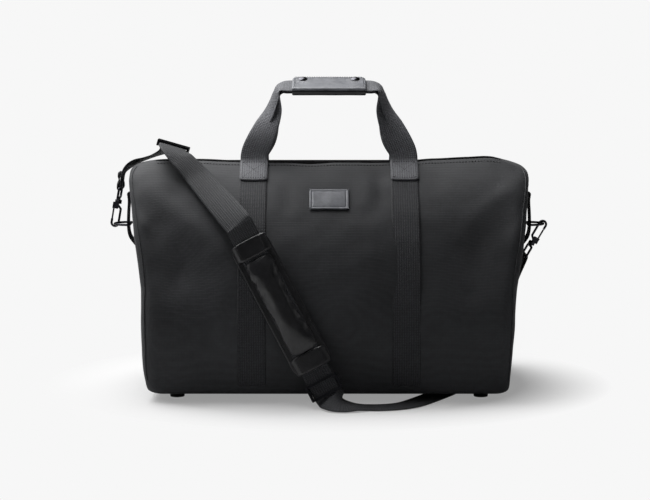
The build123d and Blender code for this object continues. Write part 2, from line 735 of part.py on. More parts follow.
over_the_ridge = [
    ((-284.8, 0.5, 284.0), (-0.97, 0.05, 0.2)),
    ((-279.5, 9.0, 297.0), (-0.6, 0.3, 0.7)),
    ((-267.0, 24.0, 308.0), (-0.25, 0.35, 0.88)),
    ((-249.0, 40.0, 317.0), (-0.05, 0.3, 0.95)),
    ((-229.0, 45.0, 324.0), (0.1, 0.25, 0.96)),
    ((-217.0, 34.0, 328.5), (0.27, 0.05, 0.96)),
    ((-214.0, 18.5, 329.0), (0.2756, 0.0, 0.9613)),
    ((-214.0, 16.5, 329.0), (0.2756, 0.0, 0.9613)),
    ((-214.0, -16.5, 329.0), (0.2756, 0.0, 0.9613)),
    ((-214.0, -18.5, 329.0), (0.2756, 0.0, 0.9613)),
    ((-211.0, -33.0, 325.5), (0.25, -0.15, 0.95)),
    ((-200.0, -46.0, 316.0), (0.15, -0.45, 0.87)),
]
along_the_floor = [
    ((4.5, -187.0, 14.6), (-0.1, -0.75, 0.65)),
    ((15.0, -191.0, 9.2), (0.0, -0.4, 0.92)),
    ((30.0, -186.0, 5.4), (0.0, -0.15, 0.99)),
    ((48.0, -179.0, 1.4), (0.0, 0.0, 1.0)),
    ((75.0, -177.0, 1.3), (0.0, 0.0, 1.0)),
    ((96.0, -168.0, 1.3), (0.0, 0.0, 1.0)),
    ((112.0, -152.0, 1.3), (0.0, 0.0, 1.0)),
    ((146.0, -98.0, 1.3), (0.0, 0.0, 1.0)),
    ((172.0, -50.0, 1.3), (0.0, 0.0, 1.0)),
    ((194.0, -18.0, 1.3), (0.0, 0.0, 1.0)),
    ((219.0, -4.0, 1.3), (0.0, 0.0, 1.0)),
    ((238.0, -1.0, 1.4), (0.05, 0.0, 1.0)),
    ((248.0, 0.0, 4.5), (0.7, 0.0, -0.7)),
    ((251.0, 0.0, 15.0), (1.0, 0.0, -0.2)),
    ((252.0, 0.0, 60.0), (1.0, 0.0, 0.0)),
    ((253.5, 0.0, 120.0), (1.0, 0.0, 0.0)),
    ((258.5, 0.0, 142.0), (0.95, 0.0, -0.3)),
]


def shoulder_pad():
    plane, _, _ = pad_frame()
    base = Pos(0, 0, pad_base_thickness / 2) * Box(pad_length, pad_width, pad_base_thickness)
    base = fillet(base.edges().filter_by(Axis.Z), pad_width / 4)
    write(plane * base, "shoulder_pad_base")
    cover = Pos(0, 0, pad_base_thickness + pad_cover_height / 2)
    cover = cover * Box(pad_cover_length, pad_cover_width, pad_cover_height)
    cover = fillet(cover.edges().filter_by(Axis.Z), pad_width / 8)
    cover = fillet(cover.edges().group_by(Axis.Z)[-1], pad_cover_height / 2)
    channel = web_thickness + 2 * pad_channel_gap
    cover -= Pos(0, 0, pad_base_thickness + channel / 2) * Box(
        pad_length, web_width + 2 * pad_channel_gap, channel
    )
    write(plane * cover, "shoulder_pad_cover")


def adjuster():
    """A three-bar slide round a web in the XY plane: two bars over it and one under it."""
    near = web_thickness / 2 + run_gap
    rail_y = web_half + run_gap + adjuster_rail / 2
    tall = 2 * near + 2 * adjuster_thickness
    frame = Pos(0, rail_y, 0) * Box(adjuster_length, adjuster_rail, tall)
    frame += Pos(0, -rail_y, 0) * Box(adjuster_length, adjuster_rail, tall)
    frame = fillet(frame.edges().filter_by(Axis.Z), adjuster_rail / 3)
    up = near + adjuster_thickness / 2
    bar_x = (adjuster_length - adjuster_bar) / 2
    for x, z in ((-bar_x, up), (bar_x, up), (0, -up)):
        frame += Pos(x, 0, z) * Box(adjuster_bar, 2 * rail_y, adjuster_thickness)
    return frame


def adjusters():
    _, down, out = pad_frame()
    at = pad_line(lower_adjuster_offset)
    write(Plane(origin=at, x_dir=tuple(down * -1), z_dir=tuple(out)) * adjuster(), "lower_adjuster")
    lean = radians(upper_adjuster_lean)
    up = Plane(origin=upper_adjuster_centre, x_dir=(0, 1, 0), z_dir=(sin(lean), 0, cos(lean)))
    write(up * adjuster(), "upper_adjuster")
    print("pad run", tuple(down), "out", tuple(out))


def shoulder_strap(left_eye, right_eye):
    route = strap_route(left_eye, right_eye)
    points = [Vector(*p) for p, _ in route]
    length = sum((b - a).length for a, b in zip(points, points[1:]))
    print("shoulder strap length", round(length, 1))
    write(ribbon(route), "shoulder_strap")


body_panels()
floor_board()
feet()
sewn_straps()
badge_patch()
inner_pocket()
zip_parts()
handles()
eyes = {}
for name in ("left", "right"):
    end_web(name)
    ring(name)
    eyes[name] = hook(name)
    zip_tab(name)
shoulder_pad()
adjusters()
shoulder_strap(eyes["left"], eyes["right"])
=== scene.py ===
from math import cos, exp, pi, radians, sin, sqrt

import bmesh
import bpy
from mathutils import Matrix, Vector, noise


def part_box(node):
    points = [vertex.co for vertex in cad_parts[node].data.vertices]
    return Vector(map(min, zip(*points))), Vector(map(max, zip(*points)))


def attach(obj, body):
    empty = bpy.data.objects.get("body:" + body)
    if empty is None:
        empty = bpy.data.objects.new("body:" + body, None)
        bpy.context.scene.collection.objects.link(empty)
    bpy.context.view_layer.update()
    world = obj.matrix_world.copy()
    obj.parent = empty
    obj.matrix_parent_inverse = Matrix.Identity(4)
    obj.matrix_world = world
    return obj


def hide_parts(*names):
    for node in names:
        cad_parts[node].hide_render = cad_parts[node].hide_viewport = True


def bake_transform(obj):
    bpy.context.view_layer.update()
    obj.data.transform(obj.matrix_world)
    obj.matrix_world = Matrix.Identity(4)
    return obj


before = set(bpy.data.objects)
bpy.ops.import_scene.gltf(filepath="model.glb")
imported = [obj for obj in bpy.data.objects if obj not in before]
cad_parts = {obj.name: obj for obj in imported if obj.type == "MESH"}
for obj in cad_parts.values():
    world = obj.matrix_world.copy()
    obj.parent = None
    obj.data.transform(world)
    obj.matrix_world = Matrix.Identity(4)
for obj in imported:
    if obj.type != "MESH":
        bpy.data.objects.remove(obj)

bl_info = {
    "name": "Weekender bag",
    "version": (1, 0, 0),
    "blender": (4, 5, 0),
    "location": "3D View > Sidebar > Bag",
    "description": "Builds a soft travel bag with web handles and a padded shoulder strap",
    "category": "Add Mesh",
}

# The bag's own shape, in metres, the same as the frame's
FLOOR = 0.012
BELLY = 0.09065  # height of the widest point, and of the centre of the front's curve
CURVE = 0.25069  # radius of the front and back above it
CURVE_BACK = 0.10169  # how far behind the middle that centre lies
WAIST = 0.150  # where the end panels start to flare
CORNER = 0.288  # top corners
RIDGE = 0.312  # edge of the mouth
STRAP_X = 0.102
GRIP_HEIGHT = 0.410
GRIP_TILT = radians(20)
PAD_BACK = Vector((-0.063, -0.1513, 0.133))
DOWN = Vector((0.466286, -0.180805, -0.865960))
OUT = Vector((-0.0857195, -0.983519, 0.159193))
FINISH = {}


# ---- Mesh helpers --------------------------------------------------------------------------------
def cage(stations, count, loop=False, caps=True):
    """A closed form: a ring of count vertices, extruded from one station to the next.

    Each station is a list of (point, weave) pairs, where weave is where that point lies on the cloth."""
    bm = bmesh.new()
    weave = bm.verts.layers.float_vector.new("weave")
    ring = bmesh.ops.create_circle(bm, segments=count, radius=0.01)["verts"]
    first = list(ring)
    for number, station in enumerate(stations):
        if number:
            edges = [bm.edges.get((ring[i], ring[(i + 1) % count])) for i in range(count)]
            made = bmesh.ops.extrude_edge_only(bm, edges=edges)["geom"]
            fresh = {v for v in made if isinstance(v, bmesh.types.BMVert)}
            ring = [next(e.other_vert(v) for e in v.link_edges if e.other_vert(v) in fresh) for v in ring]
        for vert, (point, place) in zip(ring, station):
            vert.co = point
            vert[weave] = place
    if loop:
        edges = [bm.edges.get((r[i], r[(i + 1) % count])) for r in (first, ring) for i in range(count)]
        bmesh.ops.bridge_loops(bm, edges=edges)
    elif caps:
        bmesh.ops.holes_fill(bm, edges=bm.edges[:], sides=0)
    bmesh.ops.recalc_face_normals(bm, faces=bm.faces[:])
    return bm


def along(route, step):
    """Points on a smooth line through the route's points, with the way the outer face looks at each."""
    points = [Vector(p) for p, _ in route]
    faces = [Vector(f) for _, f in route]
    found = []
    for i in range(len(points) - 1):
        a, b = points[i], points[i + 1]
        before = points[i - 1] if i else a * 2 - b
        after = points[i + 2] if i + 2 < len(points) else b * 2 - a
        span = (b - a).length
        leave = (b - before) * span / max((b - before).length, 1e-9)
        arrive = (after - a) * span / max((after - a).length, 1e-9)
        parts = max(1, round(span / step))
        for j in range(parts):
            t = j / parts
            p = a * (2 * t**3 - 3 * t**2 + 1) + leave * (t**3 - 2 * t**2 + t)
            p += b * (3 * t**2 - 2 * t**3) + arrive * (t**3 - t**2)
            found.append((p, faces[i].lerp(faces[i + 1], t).normalized()))
    found.append((points[-1], faces[-1].normalized()))
    return found


WEB_SECTION = [(-1, 0), (-0.97, 1), (-0.6, 1), (-0.2, 1), (0.2, 1), (0.6, 1), (0.97, 1)]
WEB_SECTION += [(1, 0), (0.97, -1), (0.6, -1), (0.2, -1), (-0.2, -1), (-0.6, -1), (-0.97, -1)]


def frames(line):
    """Point, across, outward and distance along for each sample of a web's line."""
    made, run = [], 0.0
    for i, (p, face) in enumerate(line):
        a, b = line[max(i - 1, 0)][0], line[min(i + 1, len(line) - 1)][0]
        t = (b - a).normalized()
        out = (face - t * face.dot(t)).normalized()
        run += (p - line[i - 1][0]).length if i else 0
        made.append((p, out.cross(t), out, run))
    return made


def web_mesh(line, width, thickness):
    """A flat woven web with rounded edges along a line."""
    stations = []
    for p, across, out, run in frames(line):
        ring = []
        for a, h in WEB_SECTION:
            place = p + across * (a * width / 2) + out * (h * thickness / 2)
            ring.append((place, (a * width / 2, run, h * 0.001)))
        stations.append(ring)
    return cage(stations, len(WEB_SECTION))


def slab(line, width, thickness, steps=24):
    """A plate along a line with a fine grid on it, for patches that follow the cloth."""
    section = [(-1 + 2 * i / steps, 1) for i in range(steps + 1)]
    section += [(1 - 2 * i / steps, -1) for i in range(steps + 1)]
    stations = []
    for p, across, out, run in frames(line):
        ring = []
        for a, h in section:
            ring.append((p + across * (a * width / 2) + out * (h * thickness / 2), (a * width / 2, run, 0)))
        stations.append(ring)
    return cage(stations, len(section))


def piece(name, bm, finish, body=None, replaces=(), subdivide=1, join=None):
    """Makes a bmesh a finished piece that moves with its body, or is left fixed in place with no body when join is
    given.
    """
    mesh = bpy.data.meshes.new(name)
    bm.to_mesh(mesh)
    bm.free()
    obj = bpy.data.objects.new(name, mesh)
    bpy.context.scene.collection.objects.link(obj)
    for face in mesh.polygons:
        face.use_smooth = True
    mesh.materials.append(FINISH[finish])
    if subdivide:
        rounded = obj.modifiers.new("rounded", "SUBSURF")
        rounded.levels = rounded.render_levels = subdivide
    if join:
        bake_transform(obj)
    else:
        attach(obj, body or "root")
    if replaces:
        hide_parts(*replaces)
    return obj


def dress(finish, *names):
    """Gives solid pieces of the frame their finish."""
    for name in names:
        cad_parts[name].material_slots[0].material = FINISH[finish]


def stitch_mesh(rows, pitch, thick=0.0009):
    """Rows of raised thread, each one short bead per stitch, along lines of (point, facing)."""
    bm = bmesh.new()
    bm.verts.layers.float_vector.new("weave")
    for row in rows:
        gone = pitch / 2
        for (a, face), (b, _) in zip(row, row[1:]):
            span = (b - a).length
            t = (b - a).normalized()
            out = (face - t * face.dot(t)).normalized()
            turn = Matrix((t, out.cross(t), out)).transposed().to_4x4()
            while gone < span:
                place = Matrix.Translation(a + t * gone) @ turn
                size = Matrix.Diagonal((pitch * 0.38, thick * 0.55, thick * 0.5, 1))
                bmesh.ops.create_icosphere(bm, subdivisions=1, radius=1, matrix=place @ size)
                gone += pitch
            gone -= span
    return bm


def offset_line(line, across, out):
    """The same line moved sideways and outwards."""
    return [(p + side * across + up * out, up) for p, side, up, _ in frames(line)]


# ---- Materials -----------------------------------------------------------------------------------
def linear(colour):
    """An sRGB hex colour as the linear values a shader takes."""
    values = [int(colour.lstrip("#")[i : i + 2], 16) / 255 for i in (0, 2, 4)]
    return [v / 12.92 if v <= 0.04045 else ((v + 0.055) / 1.055) ** 2.4 for v in values] + [1.0]


def node(tree, kind, settings=None, **inputs):
    """Adds a node, sets its settings, and sets or links its inputs; spaces in names are underscores."""
    made = tree.nodes.new(kind)
    for name, value in (settings or {}).items():
        setattr(made, name, value)
    for name, value in inputs.items():
        key = int(name[1:]) if name[0] == "i" and name[1:].isdigit() else name.replace("_", " ")
        if isinstance(value, bpy.types.NodeSocket):
            tree.links.new(value, made.inputs[key])
        else:
            made.inputs[key].default_value = value
    return made


def blank(name):
    """A new material with nothing in it but its output."""
    material = bpy.data.materials.new(name)
    material.use_nodes = True
    material.node_tree.nodes.clear()
    return material, material.node_tree


def close(tree, shader):
    node(tree, "ShaderNodeOutputMaterial", Surface=shader.outputs[0])


def mixed(tree, factor, dark, light):
    """A colour between two hex colours."""
    made = node(tree, "ShaderNodeMix", {"data_type": "RGBA"}, i0=factor, i6=linear(dark), i7=linear(light))
    return made.outputs[2]


def matt_nylon(name, dark, light):
    """Ballistic nylon, plain woven and matt: a dull cloth with a fine grain and a soft bloom at its edges."""
    material, tree = blank(name)
    place = node(tree, "ShaderNodeTexCoord").outputs["Object"]
    # threads 0.5 mm apart are too fine to show, so they are drawn 2 mm apart
    period = 0.314 / 0.0020
    rows = [
        node(tree, "ShaderNodeTexWave", {"bands_direction": d}, Vector=place, Scale=period, Distortion=0.6, Detail=1.0)
        for d in ("X", "Y", "Z")
    ]
    warp = node(tree, "ShaderNodeMath", {"operation": "ADD"}, i0=rows[0].outputs["Fac"], i1=rows[1].outputs["Fac"])
    weave = node(tree, "ShaderNodeMath", {"operation": "MULTIPLY"}, i0=warp.outputs[0], i1=rows[2].outputs["Fac"])
    slub = node(tree, "ShaderNodeTexNoise", Vector=place, Scale=1 / 0.006, Detail=5.0, Roughness=0.7)
    cloud = node(tree, "ShaderNodeTexNoise", Vector=place, Scale=1 / 0.09, Detail=3.0)
    tone = node(tree, "ShaderNodeMath", {"operation": "ADD"}, i0=cloud.outputs["Fac"], i1=slub.outputs["Fac"])
    half = node(tree, "ShaderNodeMath", {"operation": "MULTIPLY"}, i0=tone.outputs[0], i1=0.5)
    grain = node(tree, "ShaderNodeMath", {"operation": "MULTIPLY_ADD"}, i0=weave.outputs[0], i1=0.14, i2=half.outputs[0])
    low = node(tree, "ShaderNodeBump", Strength=0.35, Distance=0.0006, Height=slub.outputs["Fac"])
    fine = node(tree, "ShaderNodeBump", Strength=0.22, Distance=0.0003, Height=weave.outputs[0], Normal=low.outputs[0])
    shade = node(tree, "ShaderNodeMapRange", Value=grain.outputs[0], From_Min=0.3, From_Max=1.1, To_Min=0.0, To_Max=1.0)
    rough = node(tree, "ShaderNodeMapRange", Value=slub.outputs["Fac"], To_Min=0.62, To_Max=0.82)
    shader = node(
        tree,
        "ShaderNodeBsdfPrincipled",
        Base_Color=mixed(tree, shade.outputs[0], dark, light),
        Roughness=rough.outputs[0],
        Normal=fine.outputs[0],
        Sheen_Weight=0.12,
        Sheen_Roughness=0.45,
        IOR=1.45,
    )
    close(tree, shader)
    return material


def nylon_web(name, dark, light, pitch):
    """Heavy nylon webbing, ribbed across: close cross ribs with a woven edge, so light breaks into fine bars."""
    material, tree = blank(name)
    place = node(tree, "ShaderNodeAttribute", {"attribute_name": "weave"}).outputs["Vector"]
    ribs = node(
        tree,
        "ShaderNodeTexWave",
        {"bands_direction": "Y"},
        Vector=place,
        Scale=0.314 / pitch,
        Distortion=0.5,
        Detail=1.0,
    )
    rows = node(tree, "ShaderNodeTexWave", {"bands_direction": "X"}, Vector=place, Scale=0.314 / (pitch * 1.4))
    twill = node(tree, "ShaderNodeMath", {"operation": "MULTIPLY"}, i0=ribs.outputs["Fac"], i1=rows.outputs["Fac"])
    fuzz = node(tree, "ShaderNodeTexNoise", Vector=place, Scale=1 / 0.0016, Detail=3.0)
    mix = node(tree, "ShaderNodeMath", {"operation": "MULTIPLY_ADD"}, i0=twill.outputs[0], i1=0.7, i2=fuzz.outputs["Fac"])
    shade = node(tree, "ShaderNodeMapRange", Value=mix.outputs[0], From_Min=0.35, From_Max=1.2)
    low = node(tree, "ShaderNodeBump", Strength=0.7, Distance=0.0006, Height=twill.outputs[0])
    shader = node(
        tree,
        "ShaderNodeBsdfPrincipled",
        Base_Color=mixed(tree, shade.outputs[0], dark, light),
        Roughness=0.72,
        Normal=low.outputs[0],
        Sheen_Weight=0.1,
        IOR=1.45,
    )
    close(tree, shader)
    return material


def grained_leather(name, dark, light, gloss):
    """Corrected-grain leather, embossed and wax finished: small pebbles, dull valleys, a soft wide shine."""
    material, tree = blank(name)
    place = node(tree, "ShaderNodeTexCoord").outputs["Object"]
    pebbles = node(tree, "ShaderNodeTexVoronoi", {"feature": "SMOOTH_F1"}, Vector=place, Scale=1 / 0.0014)
    cloud = node(tree, "ShaderNodeTexNoise", Vector=place, Scale=1 / 0.012, Detail=4.0, Roughness=0.6)
    creases = node(tree, "ShaderNodeTexNoise", Vector=place, Scale=1 / 0.003, Detail=3.0, Distortion=0.4)
    low = node(tree, "ShaderNodeBump", Strength=0.3, Distance=0.0005, Height=creases.outputs["Fac"])
    fine = node(
        tree,
        "ShaderNodeBump",
        {"invert": True},
        Strength=0.45,
        Distance=0.0003,
        Height=pebbles.outputs["Distance"],
        Normal=low.outputs[0],
    )
    worn = node(tree, "ShaderNodeMapRange", Value=cloud.outputs["Fac"], From_Min=0.3, From_Max=0.75)
    rough = node(tree, "ShaderNodeMapRange", Value=cloud.outputs["Fac"], To_Min=gloss - 0.06, To_Max=gloss + 0.08)
    shader = node(
        tree,
        "ShaderNodeBsdfPrincipled",
        Base_Color=mixed(tree, worn.outputs[0], dark, light),
        Roughness=rough.outputs[0],
        Normal=fine.outputs[0],
        IOR=1.5,
        Coat_Weight=0.3,
        Coat_Roughness=0.28,
    )
    close(tree, shader)
    return material


def plated_metal(name, dark, light, rough_low, rough_high):
    """Zinc alloy, cast, tumbled and plated: smooth dark metal with faint handling marks."""
    material, tree = blank(name)
    place = node(tree, "ShaderNodeTexCoord").outputs["Object"]
    smear = node(tree, "ShaderNodeTexNoise", Vector=place, Scale=1 / 0.006, Detail=5.0, Roughness=0.65)
    scratch = node(tree, "ShaderNodeTexNoise", Vector=place, Scale=1 / 0.0008, Detail=2.0, Distortion=1.5)
    low = node(tree, "ShaderNodeBump", Strength=0.12, Distance=0.0002, Height=scratch.outputs["Fac"])
    rough = node(tree, "ShaderNodeMapRange", Value=smear.outputs["Fac"], To_Min=rough_low, To_Max=rough_high)
    shader = node(
        tree,
        "ShaderNodeBsdfPrincipled",
        Base_Color=mixed(tree, smear.outputs["Fac"], dark, light),
        Metallic=1.0,
        Roughness=rough.outputs[0],
        Normal=low.outputs[0],
    )
    close(tree, shader)
    return material


def plain_solid(name, dark, light, grain, rough_low, rough_high, depth):
    """A moulded or pressed material: an even colour with a fine surface grain that keeps it from shining."""
    material, tree = blank(name)
    place = node(tree, "ShaderNodeTexCoord").outputs["Object"]
    specks = node(tree, "ShaderNodeTexNoise", Vector=place, Scale=1 / grain, Detail=4.0)
    low = node(tree, "ShaderNodeBump", Strength=0.4, Distance=depth, Height=specks.outputs["Fac"])
    rough = node(tree, "ShaderNodeMapRange", Value=specks.outputs["Fac"], To_Min=rough_low, To_Max=rough_high)
    shader = node(
        tree,
        "ShaderNodeBsdfPrincipled",
        Base_Color=mixed(tree, specks.outputs["Fac"], dark, light),
        Roughness=rough.outputs[0],
        Normal=low.outputs[0],
        IOR=1.5,
    )
    close(tree, shader)
    return material


# ---- The bag's cloth -----------------------------------------------------------------------------
def half_depth(z):
    if z < BELLY:
        return 0.140 + 0.009 * (z - FLOOR) / (BELLY - FLOOR)
    return sqrt(max(0.0, CURVE**2 - (z - BELLY) ** 2)) - CURVE_BACK


def half_length(z):
    if z < WAIST:
        return 0.240 + 0.009 * (z - FLOOR) / (WAIST - FLOOR)
    if z < CORNER:
        return 0.249 + 0.024 * (z - WAIST) / (CORNER - WAIST)
    over = (z - CORNER) / (RIDGE - CORNER)
    return 0.235 + 0.038 * sqrt(max(0.0, 1 - over**4.5))


def slope(reach, z):
    """How fast a half length or half depth grows with height."""
    return (reach(min(z + 0.001, RIDGE)) - reach(max(z - 0.001, FLOOR))) / 0.002


# Soft folds of the front: x, z and push (metres, in is negative) along each, then its half width
FRONT_FOLDS = [
    ([(-0.268, 0.296, 0), (-0.232, 0.270, 0.005), (-0.185, 0.232, 0.006), (-0.127, 0.186, 0)], 0.014),
    ([(-0.270, 0.270, -0.002), (-0.228, 0.236, -0.009), (-0.180, 0.196, -0.006), (-0.130, 0.160, 0)], 0.026),
    ([(-0.262, 0.252, 0), (-0.247, 0.234, 0.003), (-0.232, 0.216, 0)], 0.006),
    ([(0.266, 0.294, 0), (0.240, 0.276, 0.005), (0.204, 0.252, 0.002), (0.180, 0.230, 0)], 0.010),
    ([(0.270, 0.262, -0.003), (0.240, 0.244, -0.008), (0.205, 0.215, -0.004), (0.170, 0.180, 0)], 0.022),
    ([(-0.240, 0.022, 0), (-0.222, 0.032, -0.005), (-0.200, 0.040, 0)], 0.006),
    ([(0.198, 0.042, 0), (0.220, 0.031, -0.005), (0.236, 0.018, 0)], 0.006),
    ([(0.020, 0.306, 0.003), (0.050, 0.292, 0.005), (0.053, 0.272, 0.004), (0.038, 0.246, 0)], 0.009),
    ([(0.052, 0.308, -0.003), (0.070, 0.290, -0.005), (0.071, 0.266, -0.003), (0.060, 0.240, 0)], 0.009),
    ([(-0.070, 0.300, -0.002), (-0.055, 0.270, -0.004), (-0.062, 0.225, 0)], 0.012),
    ([(0.135, 0.185, -0.004), (0.200, 0.185, -0.011), (0.265, 0.195, -0.006)], 0.045),
    ([(-0.265, 0.200, -0.007), (-0.200, 0.170, -0.013), (-0.135, 0.150, -0.004)], 0.038),
    ([(-0.190, 0.120, 0), (-0.160, 0.090, -0.003), (-0.140, 0.050, 0)], 0.018),
    ([(0.150, 0.190, 0), (0.180, 0.140, -0.003), (0.190, 0.080, 0)], 0.020),
    ([(-0.020, 0.190, 0), (0.010, 0.130, 0.003), (0.030, 0.070, 0)], 0.030),
]
END_FOLDS = [
    ([(-0.010, 0.275, 0), (-0.045, 0.240, -0.006), (-0.085, 0.180, 0)], 0.016),
    ([(0.012, 0.275, 0), (0.050, 0.235, -0.006), (0.080, 0.170, 0)], 0.016),
    ([(0.0, 0.160, 0), (0.004, 0.110, -0.004), (0.0, 0.050, 0)], 0.030),
    ([(-0.100, 0.060, 0), (-0.115, 0.035, -0.004), (-0.130, 0.020, 0)], 0.008),
    ([(0.100, 0.060, 0), (0.115, 0.035, -0.004), (0.130, 0.020, 0)], 0.008),
]
# Height of the mouth's two edges above or below the straight ridge
LIP_WAVE = [(-0.290, -0.012), (-0.262, -0.003), (-0.238, -0.001), (-0.180, -0.001), (-0.125, -0.003), (-0.060, -0.004), (-0.026, -0.0055)]
LIP_WAVE += [(0.015, -0.0035), (0.060, -0.004), (0.112, -0.003), (0.140, -0.0005), (0.190, 0.0017)]
LIP_WAVE += [(0.216, 0.0035), (0.240, 0.0), (0.258, -0.0045), (0.290, -0.014)]


def fold(u, v, points, width):
    """How far one soft fold pushes the cloth at a place on its panel."""
    best = 0.0
    for (ax, az, ap), (bx, bz, bp) in zip(points, points[1:]):
        dx, dz = bx - ax, bz - az
        t = min(1.0, max(0.0, ((u - ax) * dx + (v - az) * dz) / (dx * dx + dz * dz)))
        gap = ((u - ax - dx * t) ** 2 + (v - az - dz * t) ** 2) / width**2
        if gap < 6:
            push = (ap + (bp - ap) * t) * 2.718281828 ** (-gap)
            best = push if abs(push) > abs(best) else best
    return best


def lip_wave(x):
    for (ax, ap), (bx, bp) in zip(LIP_WAVE, LIP_WAVE[1:]):
        if ax <= x <= bx:
            t = (x - ax) / (bx - ax)
            return ap + (bp - ap) * (3 * t * t - 2 * t**3)
    return 0.0


def settled(p, n):
    """A point of the tidy bag moved to where the soft cloth really lies."""
    depth = bpy.context.scene.bag_sizes.fold_depth
    front, back, end = max(0.0, -n.y) ** 2, max(0.0, n.y) ** 2, n.x**2
    push = front * sum(fold(p.x, p.z, *f) for f in FRONT_FOLDS)
    push += back * sum(fold(-p.x * 0.94, p.z, *f) for f in FRONT_FOLDS)
    push += end * sum(fold(p.y if p.x > 0 else -p.y, p.z, *f) for f in END_FOLDS)
    push += 0.0022 * noise.noise(p / 0.075) + 0.0009 * noise.noise(p / 0.026 + Vector((3, 1, 7)))
    strapped = min(1.0, abs(abs(p.x) - STRAP_X) / 0.045)
    swell = 0.0026 * (1 - max(0.0, 1 - strapped) ** 2) * (front + back) * min(1.0, (p.z - FLOOR) / 0.05)
    calm = min(1.0, (p.z - FLOOR) / 0.025) * min(1.0, max(0.15, (RIDGE - p.z) / 0.02))
    high = max(0.0, min(1.0, (p.z - 0.262) / 0.05))
    moved = p + n * ((push * depth + swell) * calm)
    moved.x -= 0.005 * max(0.0, 1 - abs(p.z - 0.06) / 0.09) * max(0.0, -n.x)
    moved.z += lip_wave(p.x) * high * high
    edge = max(0.0, min(1.0, (abs(p.y) - 0.112) / 0.026))
    moved.z -= 0.0034 * edge * max(0.0, 1 - (p.z - FLOOR) / 0.035)
    return moved


def panel(side, x, z, out=0.0):
    """A point on the front (-1) or back (1) panel, and the way the cloth faces there."""
    rise = -slope(half_depth, z)
    n = Vector((0, side, rise)).normalized()
    return settled(Vector((x, side * half_depth(z), z)), n) + n * out, n


SIDES = ((64, 0), (9, 1), (30, 2), (9, 3), (64, 4), (9, 5), (30, 6), (9, 7))
ROUND = sum(n for n, _ in SIDES)


def ring_place(k, length, depth, radius):
    """Where vertex k of a rounded rectangle is, and the way it faces, starting at the front's left."""
    for count, side in SIDES:
        if k < count:
            break
        k -= count
    t = (k + 0.5) / count
    reach = ((length - radius), (depth - radius))
    turn = pi * side / 4
    if side % 2 == 0:
        spread = reach[0] if side in (0, 4) else reach[1]
        far = depth if side in (0, 4) else length
        local = Vector((-spread + 2 * spread * t, -far, 0))
        facing = Vector((0, -1, 0))
        spin = Matrix.Rotation(turn, 3, "Z")
        return spin @ local, spin @ facing
    angle = -pi / 2 + (side - 1) * pi / 4 + t * pi / 2
    signs = {1: (1, -1), 3: (1, 1), 5: (-1, 1), 7: (-1, -1)}[side]
    facing = Vector((cos(angle), sin(angle), 0))
    return Vector((signs[0] * reach[0], signs[1] * reach[1], 0)) + facing * radius, facing


BASE_ROUND = 0.010


def body_stations():
    """(height, inset, share) of each ring of the bag's cloth, from the middle of its floor to its lip."""
    rows = [(FLOOR, BASE_ROUND, s) for s in (0.02, 0.35, 0.7, 0.92)]
    rows += [(FLOOR + BASE_ROUND * (1 - cos(a)), BASE_ROUND * (1 - sin(a)), 1.0) for a in (0, 0.35, 0.8, 1.2)]
    rows += [(z, 0.0, 1.0) for z in (0.028, 0.034, 0.041, 0.049, 0.058, 0.067, 0.076, 0.085)]
    rows += [(BELLY + CURVE * sin(i * 1.082 / 46), 0.0, 1.0) for i in range(1, 47)]
    return rows


def corner_radius(z):
    low = 0.012 + 0.010 * min(1.0, z / 0.12)
    return min(low, half_depth(z) * 0.8)


def bag_shell():
    stations = []
    for z, inset, share in body_stations():
        z = min(z, RIDGE)
        length, depth = (half_length(z) - inset) * share, (half_depth(z) - inset) * share
        ring, run = [], 0.0
        for k in range(ROUND):
            p, n = ring_place(k, length, depth, corner_radius(z) * share)
            p.z = z
            if inset == BASE_ROUND:
                n = Vector((0, 0, -1))
            elif inset:
                n = (n * (1 - inset / BASE_ROUND) + Vector((0, 0, -inset / BASE_ROUND))).normalized()
            else:
                n.z = -(abs(n.x) * slope(half_length, z) + abs(n.y) * slope(half_depth, z))
                n.normalize()
            p = settled(p, n)
            ring.append((p, (run, z, 0)))
            run += 0.008
        stations.append(ring)
    bm = cage(stations, ROUND, caps=False)
    bottom = [e for e in bm.edges if e.is_boundary and e.verts[0].co.z < 0.02]
    bmesh.ops.holes_fill(bm, edges=bottom, sides=0)
    bmesh.ops.recalc_face_normals(bm, faces=bm.faces[:])
    return bm


def seam_line(k, low=0.030, high=RIDGE, step=0.006):
    """The line of the seam at one corner of the bag, from the floor to the mouth."""
    line, z = [], low
    while z <= high:
        p, n = ring_place(k, half_length(z), half_depth(z), corner_radius(z))
        p.z = z
        n.z = -(abs(n.x) * slope(half_length, z) + abs(n.y) * slope(half_depth, z))
        n.normalize()
        line.append((settled(p, n) + n * 0.0004, n))
        z += step
    return line


def cord_mesh(line, radius, count=8):
    stations = []
    for p, across, out, run in frames(line):
        turns = [2 * pi * i / count for i in range(count)]
        stations.append(
            [(p + (across * cos(t) + out * sin(t)) * radius, (t * radius, run, 0)) for t in turns]
        )
    return cage(stations, count)


# ---- Settings ------------------------------------------------------------------------------------
class BagSizes(bpy.types.PropertyGroup):
    """Sizes of the soft parts that a user may change"""

    fold_depth: bpy.props.FloatProperty(
        name="Fold depth", description="How deep the soft folds are, as a share of the usual", default=1.0, min=0, max=2
    )
    stitch: bpy.props.FloatProperty(
        name="Stitch", description="Length of one stitch with its gap", default=0.0042, unit="LENGTH"
    )
    web_width: bpy.props.FloatProperty(
        name="Webbing width", description="Width of handles, bands and strap", default=0.038, unit="LENGTH"
    )
    web_thickness: bpy.props.FloatProperty(
        name="Webbing thickness", description="Thickness of the woven web", default=0.0022, unit="LENGTH"
    )
    pad_swell: bpy.props.FloatProperty(
        name="Pad swell", description="Furthest that the shoulder pad's cover may puff out", default=0.005, unit="LENGTH"
    )


